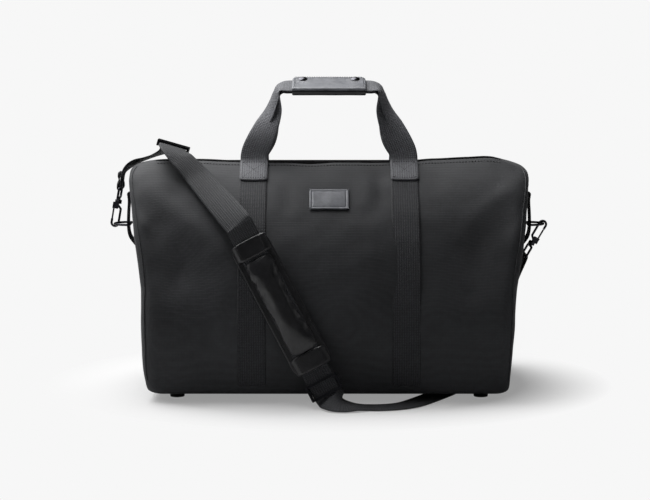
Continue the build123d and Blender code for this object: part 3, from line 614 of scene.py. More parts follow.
class BagColours(bpy.types.PropertyGroup):
    """Colours as sRGB hex values"""

    cloth_dark: bpy.props.StringProperty(name="Cloth, dark", description="Valleys of the weave", default="#2a2b2d")
    cloth_light: bpy.props.StringProperty(name="Cloth, light", description="Tops of the threads", default="#4a4b4f")
    web_dark: bpy.props.StringProperty(name="Webbing, dark", description="Between the ribs", default="#232427")
    web_light: bpy.props.StringProperty(name="Webbing, light", description="Tops of the ribs", default="#47484c")
    leather_dark: bpy.props.StringProperty(name="Leather, dark", description="Main hide colour", default="#1b1b1d")
    leather_light: bpy.props.StringProperty(name="Leather, light", description="Rubbed places", default="#2c2c2f")
    # The badge colours also paint the grip's flap, where their light grey is painted highlight for the light from
    # above.
    badge_dark: bpy.props.StringProperty(name="Badge, dark", description="Main badge colour", default="#62646a")
    badge_light: bpy.props.StringProperty(name="Badge, light", description="Rubbed badge", default="#7e8087")
    metal: bpy.props.StringProperty(name="Metal", description="Plated fittings", default="#4c4c52")


# ---- Operators -----------------------------------------------------------------------------------
class BAG_OT_finishes(bpy.types.Operator):
    """Make the materials that the pieces share"""

    bl_idname = "bag.finishes"
    bl_label = "Finishes"

    def execute(self, context):
        c = context.scene.bag_colours
        FINISH["nylon"] = matt_nylon("matt_woven_nylon", c.cloth_dark, c.cloth_light)
        FINISH["web"] = nylon_web("ribbed_nylon_web", c.web_dark, c.web_light, 0.0022)
        # The handles are the same webbing as the bands; their lighter colours #55565a and #8e8f94 are painted sheen for
        # the light their legs catch from above and the front.
        FINISH["handle"] = nylon_web("handle_web_painted_sheen", "#55565a", "#8e8f94", 0.0022)
        FINISH["tape"] = nylon_web("knitted_zip_tape", "#141416", "#2b2b2e", 0.0016)
        FINISH["leather"] = grained_leather("wax_finished_leather", c.leather_dark, c.leather_light, 0.30)
        # A lighter grey leather for the badge; the grip's flap takes it too, where it is painted highlight on the
        # sleeve's dark leather.
        FINISH["badge"] = grained_leather("badge_leather_and_flap_highlight", c.badge_dark, c.badge_light, 0.48)
        FINISH["metal"] = plated_metal("black_nickel_plate", "#2e2e33", c.metal, 0.22, 0.4)
        FINISH["black"] = plated_metal("black_oxide_steel", "#202023", "#38383c", 0.35, 0.55)
        FINISH["cap"] = plated_metal("polished_snap_cap", "#3a3a3e", "#5c5c61", 0.18, 0.3)
        FINISH["rubber"] = plain_solid("moulded_rubber", "#141415", "#1d1d1f", 0.0009, 0.6, 0.8, 0.0002)
        FINISH["board"] = plain_solid("pressed_fibre_board", "#26241f", "#3a362f", 0.002, 0.75, 0.9, 0.0003)
        FINISH["lining"] = matt_nylon("plain_lining_cloth", "#303236", "#43464b")
        FINISH["thread"] = plain_solid("bonded_nylon_thread", "#1c1c1e", "#3d3d41", 0.0005, 0.5, 0.7, 0.0001)
        return {"FINISHED"}


class BAG_OT_body(bpy.types.Operator):
    """Loft the bag's sagging cloth and its seams"""

    bl_idname = "bag.body"
    bl_label = "Body cloth"

    def execute(self, context):
        panels = ("front_panel", "back_panel", "left_gusset", "right_gusset", "base_panel")
        shell = piece("bag_cloth", bag_shell(), "nylon", replaces=panels, subdivide=0)
        wall = shell.modifiers.new("wall", "SOLIDIFY")
        wall.thickness, wall.offset = 0.003, -1
        rounded = shell.modifiers.new("rounded", "SUBSURF")
        rounded.levels = rounded.render_levels = 1
        corners = [64 + 4, 64 + 9 + 30 + 4, 128 + 18 + 30 + 4, 128 + 27 + 60 + 4]
        for number, k in enumerate(corners):
            piece(f"corner_welt_{number + 1}", cord_mesh(seam_line(k), 0.0009), "nylon")
        lips = []
        for side in (-1, 1):
            line = []
            for i in range(95):
                p, n = panel(side, -0.235 + 0.005 * i, RIDGE - 0.0042, 0.0003)
                line.append((p, n))
            lips.append(line)
        piece("mouth_stitching", stitch_mesh(lips, context.scene.bag_sizes.stitch), "thread", subdivide=0)
        return {"FINISHED"}


class BAG_OT_bands(bpy.types.Operator):
    """Sew the four webs that run from the floor to the mouth"""

    bl_idname = "bag.bands"
    bl_label = "Sewn bands"

    def execute(self, context):
        s = context.scene.bag_sizes
        rows = []
        for face, side in (("front", -1), ("back", 1)):
            for name, x in (("left", -STRAP_X), ("right", STRAP_X)):
                heights = [0.024 + 0.288 * i / 48 for i in range(49)]
                line = [panel(side, x, z, 0.0013) for z in heights]
                node_name = f"{face}_band_{name}"
                bm = web_mesh(along(line, 0.006), s.web_width, s.web_thickness)
                piece(f"{face}_{name}_web_band", bm, "web", replaces=[node_name])
                rows += [offset_line(line, a, s.web_thickness / 2) for a in (-0.0168, 0.0168)]
                low = line[:1][0]
                up = line[1][0] - low[0]
                foot = [(low[0] + up.normalized() * 0.002 + Vector((a, 0, 0)), low[1]) for a in (-0.0165, 0.0165)]
                rows.append([(p + n * s.web_thickness / 2, n) for p, n in foot])
        piece("band_stitching", stitch_mesh(rows, s.stitch), "thread", subdivide=0)
        return {"FINISHED"}


def grip_place(x, across, up):
    """A point in the grip's own frame: along X, towards its back edge, and out of its top."""
    y = across * cos(GRIP_TILT) - up * sin(GRIP_TILT)
    return Vector((x, y, GRIP_HEIGHT + across * sin(GRIP_TILT) + up * cos(GRIP_TILT)))


# Left legs from the grip down to the mouth: point, and the way the outer face looks
FRONT_LEG = [
    ((-0.067, -0.0005, 0.4100), (-0.35, -0.25, 0.9)),
    ((-0.0715, -0.0010, 0.4050), (-0.8, -0.15, 0.6)),
    ((-0.0735, -0.0018, 0.3940), (-0.92, -0.35, 0.28)),
    ((-0.0765, -0.0040, 0.3780), (-0.74, -0.62, 0.22)),
    ((-0.0850, -0.0100, 0.3580), (-0.48, -0.86, 0.12)),
    ((-0.0935, -0.0148, 0.3390), (-0.22, -0.97, 0.05)),
    ((-0.1002, -0.0170, 0.3240), (-0.05, -0.99, 0.0)),
]
BACK_LEG = [
    ((-0.065, 0.0007, 0.4068), (-0.35, -0.25, 0.9)),
    ((-0.0680, 0.0008, 0.4020), (-0.85, -0.1, 0.5)),
    ((-0.0700, 0.0010, 0.3915), (-0.96, 0.0, 0.28)),
    ((-0.0725, 0.0025, 0.3760), (-0.96, 0.13, 0.3)),
    ((-0.0785, 0.0100, 0.3570), (-0.86, 0.45, 0.2)),
    ((-0.0890, 0.0145, 0.3380), (-0.5, 0.86, 0.1)),
    ((-0.1000, 0.0168, 0.3240), (-0.15, 0.98, 0.0)),
]


# Heights of the points where a handle lies sewn on its band, and how far its middle stands off the cloth
LAP_HEIGHTS = (0.285, 0.291, 0.298, 0.305, 0.310)
HANDLE_LIFT = 0.0037
# Half the width of the crossed box stitched there
BOX_HALF = 0.0155


def leg_foot(side, x):
    """The handle's sewn end, over the band from below the mouth up past it, and its free start."""
    line = []
    for z in LAP_HEIGHTS:
        line.append(panel(side, x, z, 0.0037))
    line.append((Vector((x, side * 0.0188, 0.3165)), Vector((0, side, 0.1))))
    return line


class BAG_OT_handles(bpy.types.Operator):
    """Run the two web handles from the front and back bands through the grip"""

    bl_idname = "bag.handles"
    bl_label = "Handles"

    def execute(self, context):
        s = context.scene.bag_sizes
        boxes = []
        flat = Vector((0, -sin(GRIP_TILT), cos(GRIP_TILT)))
        for face, side, leg, layer in (("front", -1, FRONT_LEG, 0.0015), ("back", 1, BACK_LEG, -0.0015)):
            left = leg_foot(side, -STRAP_X) + [(Vector(p), Vector(f)) for p, f in reversed(leg)]
            right = [(Vector((-p.x, p.y, p.z)), Vector((-f.x, f.y, f.z))) for p, f in left]
            for i, z in enumerate(LAP_HEIGHTS):
                right[i] = panel(side, STRAP_X, z, HANDLE_LIFT)
            middle = [(grip_place(x, 0, layer), flat) for x in (-0.0583, -0.030, 0.0, 0.030, 0.0583)]
            route = left + middle + right[::-1]
            bm = web_mesh(along(route, 0.004), s.web_width, s.web_thickness)
            # The handles take the lighter handle webbing, whose extra brightness is painted sheen.
            piece(
                f"{face}_handle",
                bm,
                "handle",
                replaces=[f"{face}_handle_web", f"{face}_left_leg", f"{face}_right_leg"],
                join=("root", "handles", (0, 0, 0.316), (0, 0, 0.385)),
            )
            for sign in (-1, 1):
                marks = [panel(side, sign * STRAP_X, z, HANDLE_LIFT + s.web_thickness / 2) for z in (0.288, 0.298, 0.308)]
                low, high = marks[0], marks[2]
                corner = [low[0] + Vector((a, 0, 0)) for a in (-BOX_HALF, BOX_HALF)]
                upper = [high[0] + Vector((a, 0, 0)) for a in (BOX_HALF, -BOX_HALF)]
                n = marks[1][1]
                mid = marks[1][0]
                boxes += [[(corner[0], n), (corner[1], n)], [(upper[0], n), (upper[1], n)]]
                boxes += [[(corner[0], n), (mid, n), (upper[0], n)], [(corner[1], n), (mid, n), (upper[1], n)]]
                edges = [mid + Vector((a, 0, 0)) for a in (-BOX_HALF, BOX_HALF)]
                boxes += [[(corner[0], n), (edges[0], n), (upper[1], n)], [(corner[1], n), (edges[1], n), (upper[0], n)]]
        piece("handle_box_stitching", stitch_mesh(boxes, 0.0034), "thread", subdivide=0)
        return {"FINISHED"}


def sleeve_section(width, height, count=24):
    """A flattened oval section for the leather sleeve, as (across, up) pairs."""
    pairs = []
    for i in range(count):
        t = 2 * pi * i / count
        a, b = cos(t), sin(t)
        power = 0.42
        pairs.append(
            (
                width / 2 * (abs(a) ** power) * (1 if a > 0 else -1),
                height / 2 * (abs(b) ** power) * (1 if b > 0 else -1),
            )
        )
    return pairs


class BAG_OT_grip(bpy.types.Operator):
    """Wrap the two webs in a leather sleeve with a snapped flap"""

    bl_idname = "bag.grip"
    bl_label = "Leather grip"

    def execute(self, context):
        stations = []
        outer, inner = sleeve_section(0.0438, 0.0100), sleeve_section(0.0400, 0.0064)
        path = [(x / 1000, inner) for x in (-44, -50.2)]
        path += [(x / 1000, outer) for x in (-50.4, -47, -40, -28, -15, 0, 15, 28, 40, 47, 50.4)]
        path += [(x / 1000, inner) for x in (50.2, 44, 20, -20)]
        for x, section in path:
            ring = []
            for a, h in section:
                wave = 0.0005 * noise.noise(Vector((x, a, h)) / 0.018) if section is outer else 0
                ring.append((grip_place(x, a * (1 + wave / 0.02), h * (1 + wave / 0.005)), (a, x, 0)))
            stations.append(ring)
        bm = cage(stations, 24, loop=True)
        piece("leather_sleeve", bm, "leather", body="handles", replaces=["grip_wrap"])

        base, thick = 0.0054, 0.0020
        bm = bmesh.new()
        bm.verts.layers.float_vector.new("weave")
        bmesh.ops.create_grid(bm, x_segments=48, y_segments=20, size=1)
        for v in bm.verts:
            x, a = v.co.x * 0.0505, v.co.y * 0.0210
            free = max(0.0, v.co.y)
            pull = max(0.0, abs(v.co.x) - 0.84) / 0.16
            x *= 1 - 0.012 * free * free
            a -= 0.0050 * pull * pull * free
            lift = 0.0005 * noise.noise(Vector((x, a, 0)) / 0.016) + 0.0003
            roll = max(0.0, -v.co.y - 0.86) / 0.14
            v.co = grip_place(x, a, base + thick / 2 + lift * (1 - roll) - 0.0016 * roll * roll)
        bmesh.ops.solidify(bm, geom=bm.faces[:], thickness=thick)
        bmesh.ops.recalc_face_normals(bm, faces=bm.faces[:])
        # The flap takes the lighter grey badge leather, not the sleeve's dark leather: painted highlight for the light
        # from above on its top face.
        piece("leather_flap", bm, "badge", body="grip_flap", replaces=["grip_flap"])
        edge = []
        for x0, a0, x1, a1 in ((-0.047, 0.0165, 0.047, 0.0165), (-0.047, 0.0165, -0.047, -0.016), (0.047, -0.016, 0.047, 0.0165)):
            top = base + thick + 0.0007
            n = Vector((0, -sin(GRIP_TILT), cos(GRIP_TILT)))
            steps = [(x0 + (x1 - x0) * i / 6, a0 + (a1 - a0) * i / 6) for i in range(7)]
            edge.append([(grip_place(x, a, top), n) for x, a in steps])
        piece("flap_stitching", stitch_mesh(edge, 0.0032, 0.0007), "thread", body="grip_flap", subdivide=0)
        dress("cap", "snap_caps")
        dress("metal", "snap_studs")
        return {"FINISHED"}


class BAG_OT_badge(bpy.types.Operator):
    """Sew a bare leather badge on the front"""

    bl_idname = "bag.badge"
    bl_label = "Badge"

    def execute(self, context):
        wide, tall, thick, corner = 0.053, 0.0335, 0.0022, 0.0045
        bm = bmesh.new()
        bm.verts.layers.float_vector.new("weave")
        bmesh.ops.create_grid(bm, x_segments=84, y_segments=54, size=1)
        low, high = 0.2498, 0.2742
        for v in bm.verts:
            u, w = v.co.x * wide / 2, v.co.y * tall / 2
            over = Vector((max(0, abs(u) - wide / 2 + corner), max(0, abs(w) - tall / 2 + corner)))
            if over.length > corner:
                cut = corner / over.length
                u -= (over.x - over.x * cut) * (1 if u > 0 else -1)
                w -= (over.y - over.y * cut) * (1 if w > 0 else -1)
            rim = min(wide / 2 - abs(u), tall / 2 - abs(w))
            groove = 0.00055 * exp(-(((rim - 0.0038) / 0.0007) ** 2))
            rolled = 0.0006 * max(0.0, 1 - rim / 0.0012) ** 2
            z = (low + high) / 2 + (high - low) / 2 * (w / (tall / 2))
            p, n = panel(-1, u, z, 0.0)
            v.co = p + n * (0.0006 + thick - groove - rolled)
        bmesh.ops.recalc_face_normals(bm, faces=bm.faces[:])
        centre = sum((f.normal for f in bm.faces), Vector())
        if centre.y > 0:
            bmesh.ops.reverse_faces(bm, faces=bm.faces[:])
        badge = piece("leather_badge", bm, "badge", replaces=["badge_patch"], subdivide=0)
        wall = badge.modifiers.new("wall", "SOLIDIFY")
        wall.thickness, wall.offset = thick, -1
        return {"FINISHED"}


# The mouth that opens, the chain's ends, the gap between moving and fixed chain, and its middle's height
ZIP_MOUTH = (-0.1883, 0.1839)
ZIP_END = 0.2358
ZIP_GAP = 0.0005
ZIP_HEIGHT = 0.303
TOOTH_PITCH = 0.003


class BAG_OT_zip(bpy.types.Operator):
    """Make the zip's tapes, teeth and ends"""

    bl_idname = "bag.zip"
    bl_label = "Zip"

    def tape(self, x0, x1, y0, y1, z):
        """A flat tape of woven cloth, with weave along X."""
        middle = [(Vector((x0 + (x1 - x0) * i / 40, (y0 + y1) / 2, z)), Vector((0, 0, 1))) for i in range(41)]
        return web_mesh(middle, abs(y1 - y0), 0.0011)

    def teeth(self, x0, x1, sides):
        bm = bmesh.new()
        bm.verts.layers.float_vector.new("weave")
        count = int((x1 - x0) / TOOTH_PITCH)
        for i in range(count):
            for side in sides:
                x = x0 + TOOTH_PITCH / 2 + i * TOOTH_PITCH + (0.0004 if side > 0 else -0.0004)
                place = Matrix.Translation((x, side * 0.00155, ZIP_HEIGHT))
                made = bmesh.ops.create_cube(bm, size=1, matrix=place @ Matrix.Diagonal((0.0017, 0.0013, 0.0022, 1)))
                top = [e for v in made["verts"] for e in v.link_edges]
                bmesh.ops.bevel(
                    bm, geom=list(set(top)), offset=0.00025, segments=1, affect="EDGES", profile=0.5, material=-1
                )
        return bm

    def execute(self, context):
        low, high = ZIP_MOUTH
        for face, side in (("front", -1), ("back", 1)):
            name = f"zip_{face}"
            bm = self.tape(low, high, side * 0.0024, side * 0.0120, ZIP_HEIGHT)
            piece(f"{name}_cloth", bm, "tape", body=name, replaces=[f"{name}_tape"])
            bm = self.teeth(low, high, [side])
            piece(f"{name}_chain", bm, "metal", body=name, replaces=[f"{name}_teeth"], subdivide=0)
            line = [(Vector((-0.2355 + 0.471 * i / 60, side * 0.0136, 0.3058)), Vector((0, side, 0))) for i in range(61)]
            piece(f"{name}_welt", web_mesh(line, 0.0064, 0.0011), "tape", replaces=[f"{name}_flange"])
        for end, x0, x1 in (("left", -ZIP_END, low - ZIP_GAP), ("right", high + ZIP_GAP * 0.8, ZIP_END)):
            bm = self.teeth(x0, x1, [-1, 1])
            chain = piece(f"{end}_fixed_chain", bm, "metal", subdivide=0)
            for side in (-1, 1):
                bm = self.tape(x0, x1, side * 0.0023, side * 0.0129, ZIP_HEIGHT)
                piece(f"{end}_fixed_tape_{'front' if side < 0 else 'back'}", bm, "tape")
        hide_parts("zip_end_chain")
        dress("metal", "zip_slider", "zip_pull")
        return {"FINISHED"}


# Right end web from top to bottom: X and Z of its middle
END_WEB = [(0.2765, 0.266), (0.2753, 0.256), (0.2763, 0.240), (0.2769, 0.226), (0.2769, 0.218)]
END_WEB += [(0.2745, 0.205), (0.2650, 0.192), (0.2590, 0.182), (0.2553, 0.168)]


class BAG_OT_ends(bpy.types.Operator):
    """Sew the end webs and zip tabs, and plate the rings and hooks"""

    bl_idname = "bag.ends"
    bl_label = "End fittings"

    def execute(self, context):
        s = context.scene.bag_sizes
        rows = []
        for name, sign in (("left", -1), ("right", 1)):
            line = [(Vector((sign * x, 0, z)), Vector((sign, 0, -0.1))) for x, z in END_WEB]
            path = along(line, 0.004)
            piece(f"{name}_ring_web", web_mesh(path, 0.030, s.web_thickness), "web", replaces=[f"{name}_end_web"])
            for z in (0.171, 0.176, 0.259, 0.263):
                at = min(path, key=lambda q: abs(q[0].z - z))[0]
                out = Vector((sign, 0, 0))
                rows.append([(at + out * 0.0012 + Vector((0, a, 0)), out) for a in (-0.013, 0.013)])
            lo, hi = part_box(f"{name}_zip_tab")
            line = []
            for i in range(9):
                z = lo.z + 0.0006 + (hi.z - lo.z - 0.0012) * i / 8
                x = sign * (half_length(z) + 0.0018 + 0.0003 * sin(pi * i / 8))
                line.append((Vector((x, 0, z)), Vector((sign, 0, -0.2))))
            piece(f"{name}_leather_tab", slab(line, 0.0176, 0.0029, 10), "leather", replaces=[f"{name}_zip_tab"])
            dress("metal", *(f"{name}_{part}" for part in ("ring", "claw", "gate", "strap_eye")))
        piece("end_stitching", stitch_mesh(rows, 0.0034), "thread", subdivide=0)
        return {"FINISHED"}


def pad_place(up, across, out):
    """A point in the shoulder pad's own frame: up the strap, across it, and out from the bag."""
    return PAD_BACK - DOWN * up + OUT.cross(-DOWN) * across + OUT * out


def strap_eye(eye, first, last, facing):
    """Six points of the web round the bar of an eye, with the way its outer face looks."""
    turns = [radians(first + (last - first) * i / 6) for i in range(7)]
    made = []
    for t in turns:
        way = Vector((cos(t), 0, sin(t)))
        made.append((eye + way * 0.0030, way * facing))
    return made


LEFT_EYE = Vector((-0.28697, 0, 0.27262))
RIGHT_EYE = Vector((0.27020, 0, 0.17749))
OVER_RIDGE = [
    ((-0.2848, 0.0005, 0.2840), (-0.97, 0.05, 0.2)),
    ((-0.2795, 0.0090, 0.2970), (-0.6, 0.3, 0.7)),
    ((-0.2670, 0.0240, 0.3040), (-0.25, 0.35, 0.88)),
    ((-0.2490, 0.0400, 0.3115), (-0.05, 0.3, 0.95)),
    ((-0.2290, 0.0450, 0.3205), (0.1, 0.25, 0.96)),
    ((-0.2170, 0.0340, 0.3285), (0.27, 0.05, 0.96)),
    ((-0.2140, 0.0165, 0.3290), (0.2756, 0.0, 0.9613)),
    ((-0.2140, -0.0165, 0.3290), (0.2756, 0.0, 0.9613)),
    ((-0.2110, -0.0330, 0.3255), (0.25, -0.15, 0.95)),
    ((-0.2000, -0.0460, 0.3160), (0.15, -0.45, 0.87)),
    ((-0.1760, -0.0620, 0.2925), (0.1, -0.62, 0.78)),
]
ON_FLOOR = [
    ((0.0045, -0.1870, 0.0146), (-0.1, -0.75, 0.65)),
    ((0.0150, -0.1910, 0.0092), (0.0, -0.4, 0.92)),
    ((0.0300, -0.1860, 0.0054), (0.0, -0.15, 0.99)),
    ((0.0480, -0.1790, 0.0016), (0.0, 0.0, 1.0)),
    ((0.0750, -0.1770, 0.0014), (0.0, 0.0, 1.0)),
    ((0.0960, -0.1680, 0.0014), (0.0, 0.0, 1.0)),
    ((0.1120, -0.1520, 0.0014), (0.0, 0.0, 1.0)),
    ((0.1460, -0.0980, 0.0014), (0.0, 0.0, 1.0)),
    ((0.1720, -0.0500, 0.0014), (0.0, 0.0, 1.0)),
    ((0.1940, -0.0180, 0.0014), (0.0, 0.0, 1.0)),
    ((0.2190, -0.0040, 0.0014), (0.0, 0.0, 1.0)),
    ((0.2380, -0.0010, 0.0016), (0.05, 0.0, 1.0)),
    ((0.2480, 0.0000, 0.0046), (0.7, 0.0, -0.7)),
    ((0.2510, 0.0000, 0.0150), (1.0, 0.0, -0.2)),
    ((0.2530, 0.0000, 0.0600), (1.0, 0.0, 0.0)),
    ((0.2550, 0.0000, 0.1200), (1.0, 0.0, 0.0)),
    ((0.2590, 0.0000, 0.1420), (0.95, 0.0, -0.3)),
]


def strap_route():
    route = [(LEFT_EYE + Vector((-0.0009, 0.0003, 0.022)), Vector((-1, 0, 0.05)))]
    route += strap_eye(LEFT_EYE, 180, 360, -1)
    route += OVER_RIDGE
    for d in (-0.1185, -0.1165, -0.06, 0.0, 0.06, 0.1335, 0.1355):
        route.append((pad_place(-d, 0, 0.0044), OUT))
    route += ON_FLOOR
    route += strap_eye(RIGHT_EYE, -25, 205, 1)
    route.append((RIGHT_EYE + Vector((-0.0096, 0, -0.0245)), Vector((-0.93, 0, 0.37))))
    return route


class BAG_OT_strap(bpy.types.Operator):
    """Lay the shoulder strap and its two slides"""

    bl_idname = "bag.strap"
    bl_label = "Shoulder strap"

    def execute(self, context):
        s = context.scene.bag_sizes
        line = along(strap_route(), 0.004)
        piece("shoulder_web", web_mesh(line, s.web_width, s.web_thickness), "web", replaces=["shoulder_strap"])
        dress("black", "lower_adjuster", "upper_adjuster")
        return {"FINISHED"}


def puffed(obj, cap):
    """Lets a closed cushion fill out under pressure, and keeps each point within cap of where it began."""
    start = [v.co.copy() for v in obj.data.vertices]
    cloth = obj.modifiers.new("cloth", "CLOTH")
    cloth.settings.quality = 5
    cloth.settings.use_pressure = True
    cloth.settings.uniform_pressure_force = 4
    cloth.settings.tension_stiffness = cloth.settings.compression_stiffness = 12
    cloth.settings.effector_weights.gravity = 0
    cloth.point_cache.frame_start, cloth.point_cache.frame_end = 1, 20
    for number in range(1, 21):
        bpy.context.scene.frame_set(number)
    graph = bpy.context.evaluated_depsgraph_get()
    shown = obj.evaluated_get(graph).data
    moved = [v.co.copy() for v in shown.vertices]
    obj.modifiers.remove(cloth)
    for vert, a, b in zip(obj.data.vertices, start, moved):
        way = b - a
        vert.co = a + way * min(1.0, cap / max(way.length, 1e-9))
    bpy.context.scene.frame_set(1)


class BAG_OT_pad(bpy.types.Operator):
    """Fill out the shoulder pad and sew its ends"""

    bl_idname = "bag.pad"
    bl_label = "Shoulder pad"

    def slice(self, up, half, low, high, crown):
        """A ring of 20 points across the pad, flat below and crowned above."""
        ring = []
        for i in range(20):
            t = 2 * pi * i / 20
            a = cos(t)
            a = (abs(a) ** 0.55) * (1 if a > 0 else -1)
            top = sin(t) > 0
            h = high + crown * (1 - a * a) if top else low
            h = (low + high) / 2 if abs(sin(t)) < 1e-6 else h
            ring.append((pad_place(up, a * half, h), (a * half, up, h)))
        return ring

    def execute(self, context):
        s = context.scene.bag_sizes
        stations = []
        for i in range(33):
            up = -0.098 + 0.196 * i / 32
            edge = max(0.0, abs(up) - 0.0845) / 0.0135
            half = 0.0270 - 0.0135 * (1 - sqrt(max(0.0, 1 - edge * edge)))
            stations.append(self.slice(up, half, 0.0004, 0.0021, 0.0004))
        piece("pad_base", cage(stations, 20), "leather", body="shoulder_pad", replaces=["shoulder_pad_base"])
        stations = []
        for i in range(29):
            up = -0.074 + 0.148 * i / 28
            share = 1 - abs(up) / 0.074
            grown = min(1.0, share / 0.35)
            grown = sqrt(max(0.0, 1 - (1 - grown) ** 2))
            half = 0.0120 + 0.0095 * grown
            stations.append(self.slice(up, half, 0.0026, 0.0030 + 0.0040 * grown, 0.0030 * grown))
        bm = cage(stations, 20)
        cover = piece("pad_cover", bm, "leather", body="shoulder_pad", replaces=["shoulder_pad_cover"], subdivide=0)
        remesh = cover.modifiers.new("even", "REMESH")
        remesh.mode, remesh.voxel_size = "VOXEL", 0.004
        graph = context.evaluated_depsgraph_get()
        even = bpy.data.meshes.new_from_object(cover.evaluated_get(graph))
        cover.modifiers.remove(remesh)
        cover.data = even
        puffed(cover, s.pad_swell)
        for face in cover.data.polygons:
            face.use_smooth = True
        rounded = cover.modifiers.new("rounded", "SUBSURF")
        rounded.levels = rounded.render_levels = 1
        rows = []
        for sign, name in ((1, "upper"), (-1, "lower")):
            stations = []
            for i in range(8):
                up = sign * (0.0705 + 0.0255 * i / 7)
                ring = []
                arch = [(-0.0245, 0.0024), (-0.0212, 0.0046), (-0.0195, 0.0066), (-0.010, 0.0070), (0, 0.0071)]
                arch += [(0.010, 0.0070), (0.0195, 0.0066), (0.0212, 0.0046), (0.0245, 0.0024)]
                for a, h in arch:
                    ring.append((pad_place(up, a, h + 0.0013), (a, up, 0)))
                for a, h in reversed(arch):
                    ring.append((pad_place(up, a, h), (a, up, 0)))
                stations.append(ring)
            piece(f"pad_{name}_end_patch", cage(stations, 18), "leather", body="shoulder_pad")
            for a in (-0.0165, 0.0165):
                rows.append([(pad_place(sign * (0.073 + 0.003 * i), a, 0.0085), OUT) for i in range(8)])
            for up in (0.073, 0.094):
                rows.append([(pad_place(sign * up, a / 1000, 0.0087), OUT) for a in range(-16, 17, 4)])
        for a in (-1, 1):
            rows.append([(pad_place(-0.080 + 0.005 * i, a * 0.0245, 0.0026), OUT) for i in range(33)])
        piece("pad_stitching", stitch_mesh(rows, 0.0034, 0.0008), "thread", body="shoulder_pad", subdivide=0)
        return {"FINISHED"}


class BAG_OT_inside(bpy.types.Operator):
    """Line the inside: floor board, pocket, feet and rivets"""

    bl_idname = "bag.inside"
    bl_label = "Inside and feet"

    def execute(self, context):
        heights = [0.096 + 0.108 * i / 24 for i in range(25)]
        line = [panel(1, 0, z, -0.0052) for z in heights]
        bm = slab([(Vector((0, p.y, p.z)), n) for p, n in line], 0.238, 0.0011, 40)
        piece("lining_pocket", bm, "lining", replaces=["inner_pocket"], subdivide=0)
        dress("board", "base_board")
        dress("rubber", "feet")
        dress("black", "foot_rivets")
        return {"FINISHED"}


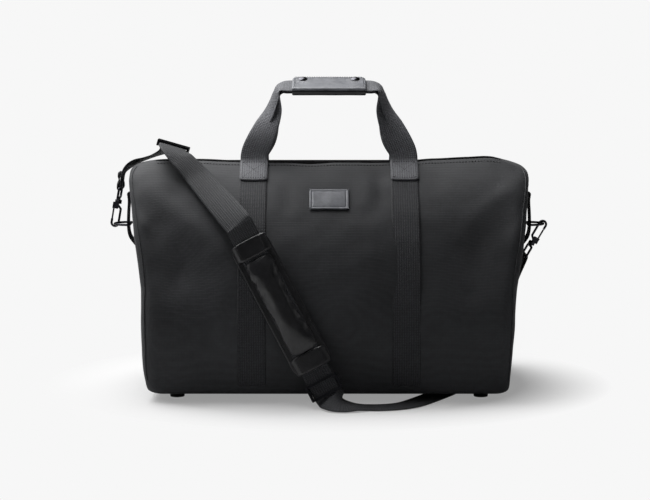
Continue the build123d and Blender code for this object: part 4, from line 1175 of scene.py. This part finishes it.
class BAG_OT_stage(bpy.types.Operator):
    """Set the floor, lights and camera"""

    bl_idname = "bag.stage"
    bl_label = "Stage"

    def execute(self, context):
        bm = bmesh.new()
        bmesh.ops.create_grid(bm, x_segments=1, y_segments=1, size=6)
        mesh = bpy.data.meshes.new("floor")
        bm.to_mesh(mesh)
        bm.free()
        floor = bpy.data.objects.new("floor", mesh)
        context.scene.collection.objects.link(floor)
        material, tree = blank("matt_white_floor")
        path = node(tree, "ShaderNodeLightPath")
        place = node(tree, "ShaderNodeTexCoord").outputs["Object"]
        flat = node(tree, "ShaderNodeVectorMath", {"operation": "MULTIPLY"}, i0=place, i1=(0.8, 1.0, 1.0))
        reach = node(tree, "ShaderNodeVectorMath", {"operation": "LENGTH"}, i0=flat.outputs[0])
        near = node(tree, "ShaderNodeMapRange", Value=reach.outputs["Value"], From_Min=0.215, From_Max=0.315)
        shown = node(tree, "ShaderNodeMath", {"operation": "MAXIMUM"}, i0=path.outputs["Is Camera Ray"], i1=0.0)
        lit = node(tree, "ShaderNodeBsdfDiffuse", Color=linear("#cbcbcb"))
        glow = node(tree, "ShaderNodeEmission", Color=linear("#ffffff"), Strength=0.29)
        far = node(tree, "ShaderNodeEmission", Color=linear("#f7f7f7"), Strength=1.0)
        both = node(tree, "ShaderNodeAddShader", i0=lit.outputs[0], i1=glow.outputs[0])
        seen = node(tree, "ShaderNodeMixShader", Fac=near.outputs[0], i1=both.outputs[0], i2=far.outputs[0])
        close(tree, node(tree, "ShaderNodeMixShader", Fac=shown.outputs[0], i1=lit.outputs[0], i2=seen.outputs[0]))
        mesh.materials.append(material)

        world = bpy.data.worlds.new("studio")
        world.use_nodes = True
        tree = world.node_tree
        tree.nodes.clear()
        path = node(tree, "ShaderNodeLightPath")
        see = node(tree, "ShaderNodeMath", {"operation": "MAXIMUM"}, i0=path.outputs["Is Camera Ray"], i1=0.0)
        soft = node(tree, "ShaderNodeBackground", Color=linear("#ffffff"), Strength=0.035)
        white = node(tree, "ShaderNodeBackground", Color=linear("#f7f7f7"), Strength=1.0)
        both = node(tree, "ShaderNodeMixShader", Fac=see.outputs[0], i1=soft.outputs[0], i2=white.outputs[0])
        node(tree, "ShaderNodeOutputWorld", Surface=both.outputs[0])
        context.scene.world = world

        lamps = (
            ("top", (-0.6, 0.45, 1.65), (0.0, 0.0, 0.2), 1.5, 44.0),
            ("front", (0.2, -3.0, 1.3), (0.0, 0.0, 0.2), 1.8, 0.6),
            ("left", (-2.2, -0.3, 1.0), (0.0, 0.0, 0.2), 1.2, 4.0),
            ("right", (2.2, -0.3, 0.9), (0.0, 0.0, 0.2), 1.2, 1.5),
        )
        for name, place, aim, size, power in lamps:
            data = bpy.data.lights.new(name, "AREA")
            data.size, data.energy = size, power
            lamp = bpy.data.objects.new(name, data)
            context.scene.collection.objects.link(lamp)
            lamp.location = place
            lamp.rotation_euler = (Vector(aim) - Vector(place)).to_track_quat("-Z", "Y").to_euler()

        lens = bpy.data.cameras.new("camera")
        lens.lens, lens.sensor_width = 104.0, 36.0
        camera = bpy.data.objects.new("camera", lens)
        context.scene.collection.objects.link(camera)
        aim, height = Vector((-0.0055, 0, 0.185)), radians(7.5)
        back = Vector((0, -cos(height), sin(height)))
        camera.location = aim + back * 2.6
        camera.rotation_euler = (-back).to_track_quat("-Z", "Y").to_euler()
        context.scene.camera = camera
        context.scene.view_settings.view_transform = "Standard"
        return {"FINISHED"}


OPERATORS = (
    BAG_OT_finishes,
    BAG_OT_body,
    BAG_OT_bands,
    BAG_OT_handles,
    BAG_OT_grip,
    BAG_OT_badge,
    BAG_OT_zip,
    BAG_OT_ends,
    BAG_OT_strap,
    BAG_OT_pad,
    BAG_OT_inside,
    BAG_OT_stage,
)


class BAG_PT_panel(bpy.types.Panel):
    """Lists the bag's sizes, colours and pieces"""

    bl_idname = "BAG_PT_panel"
    bl_label = "Weekender bag"
    bl_space_type = "VIEW_3D"
    bl_region_type = "UI"
    bl_category = "Bag"

    def draw(self, context):
        for group in (context.scene.bag_sizes, context.scene.bag_colours):
            for name in group.__annotations__:
                self.layout.prop(group, name)
        for operator in OPERATORS:
            self.layout.operator(operator.bl_idname)


CLASSES = (BagSizes, BagColours, *OPERATORS, BAG_PT_panel)


def register():
    for item in CLASSES:
        bpy.utils.register_class(item)
    bpy.types.Scene.bag_sizes = bpy.props.PointerProperty(type=BagSizes)
    bpy.types.Scene.bag_colours = bpy.props.PointerProperty(type=BagColours)


def unregister():
    del bpy.types.Scene.bag_colours
    del bpy.types.Scene.bag_sizes
    for item in reversed(CLASSES):
        bpy.utils.unregister_class(item)


def main():
    register()
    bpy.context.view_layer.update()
    for operator in OPERATORS:
        group, name = operator.bl_idname.split(".")
        getattr(getattr(bpy.ops, group), name)()


if __name__ == "__main__":
    main()
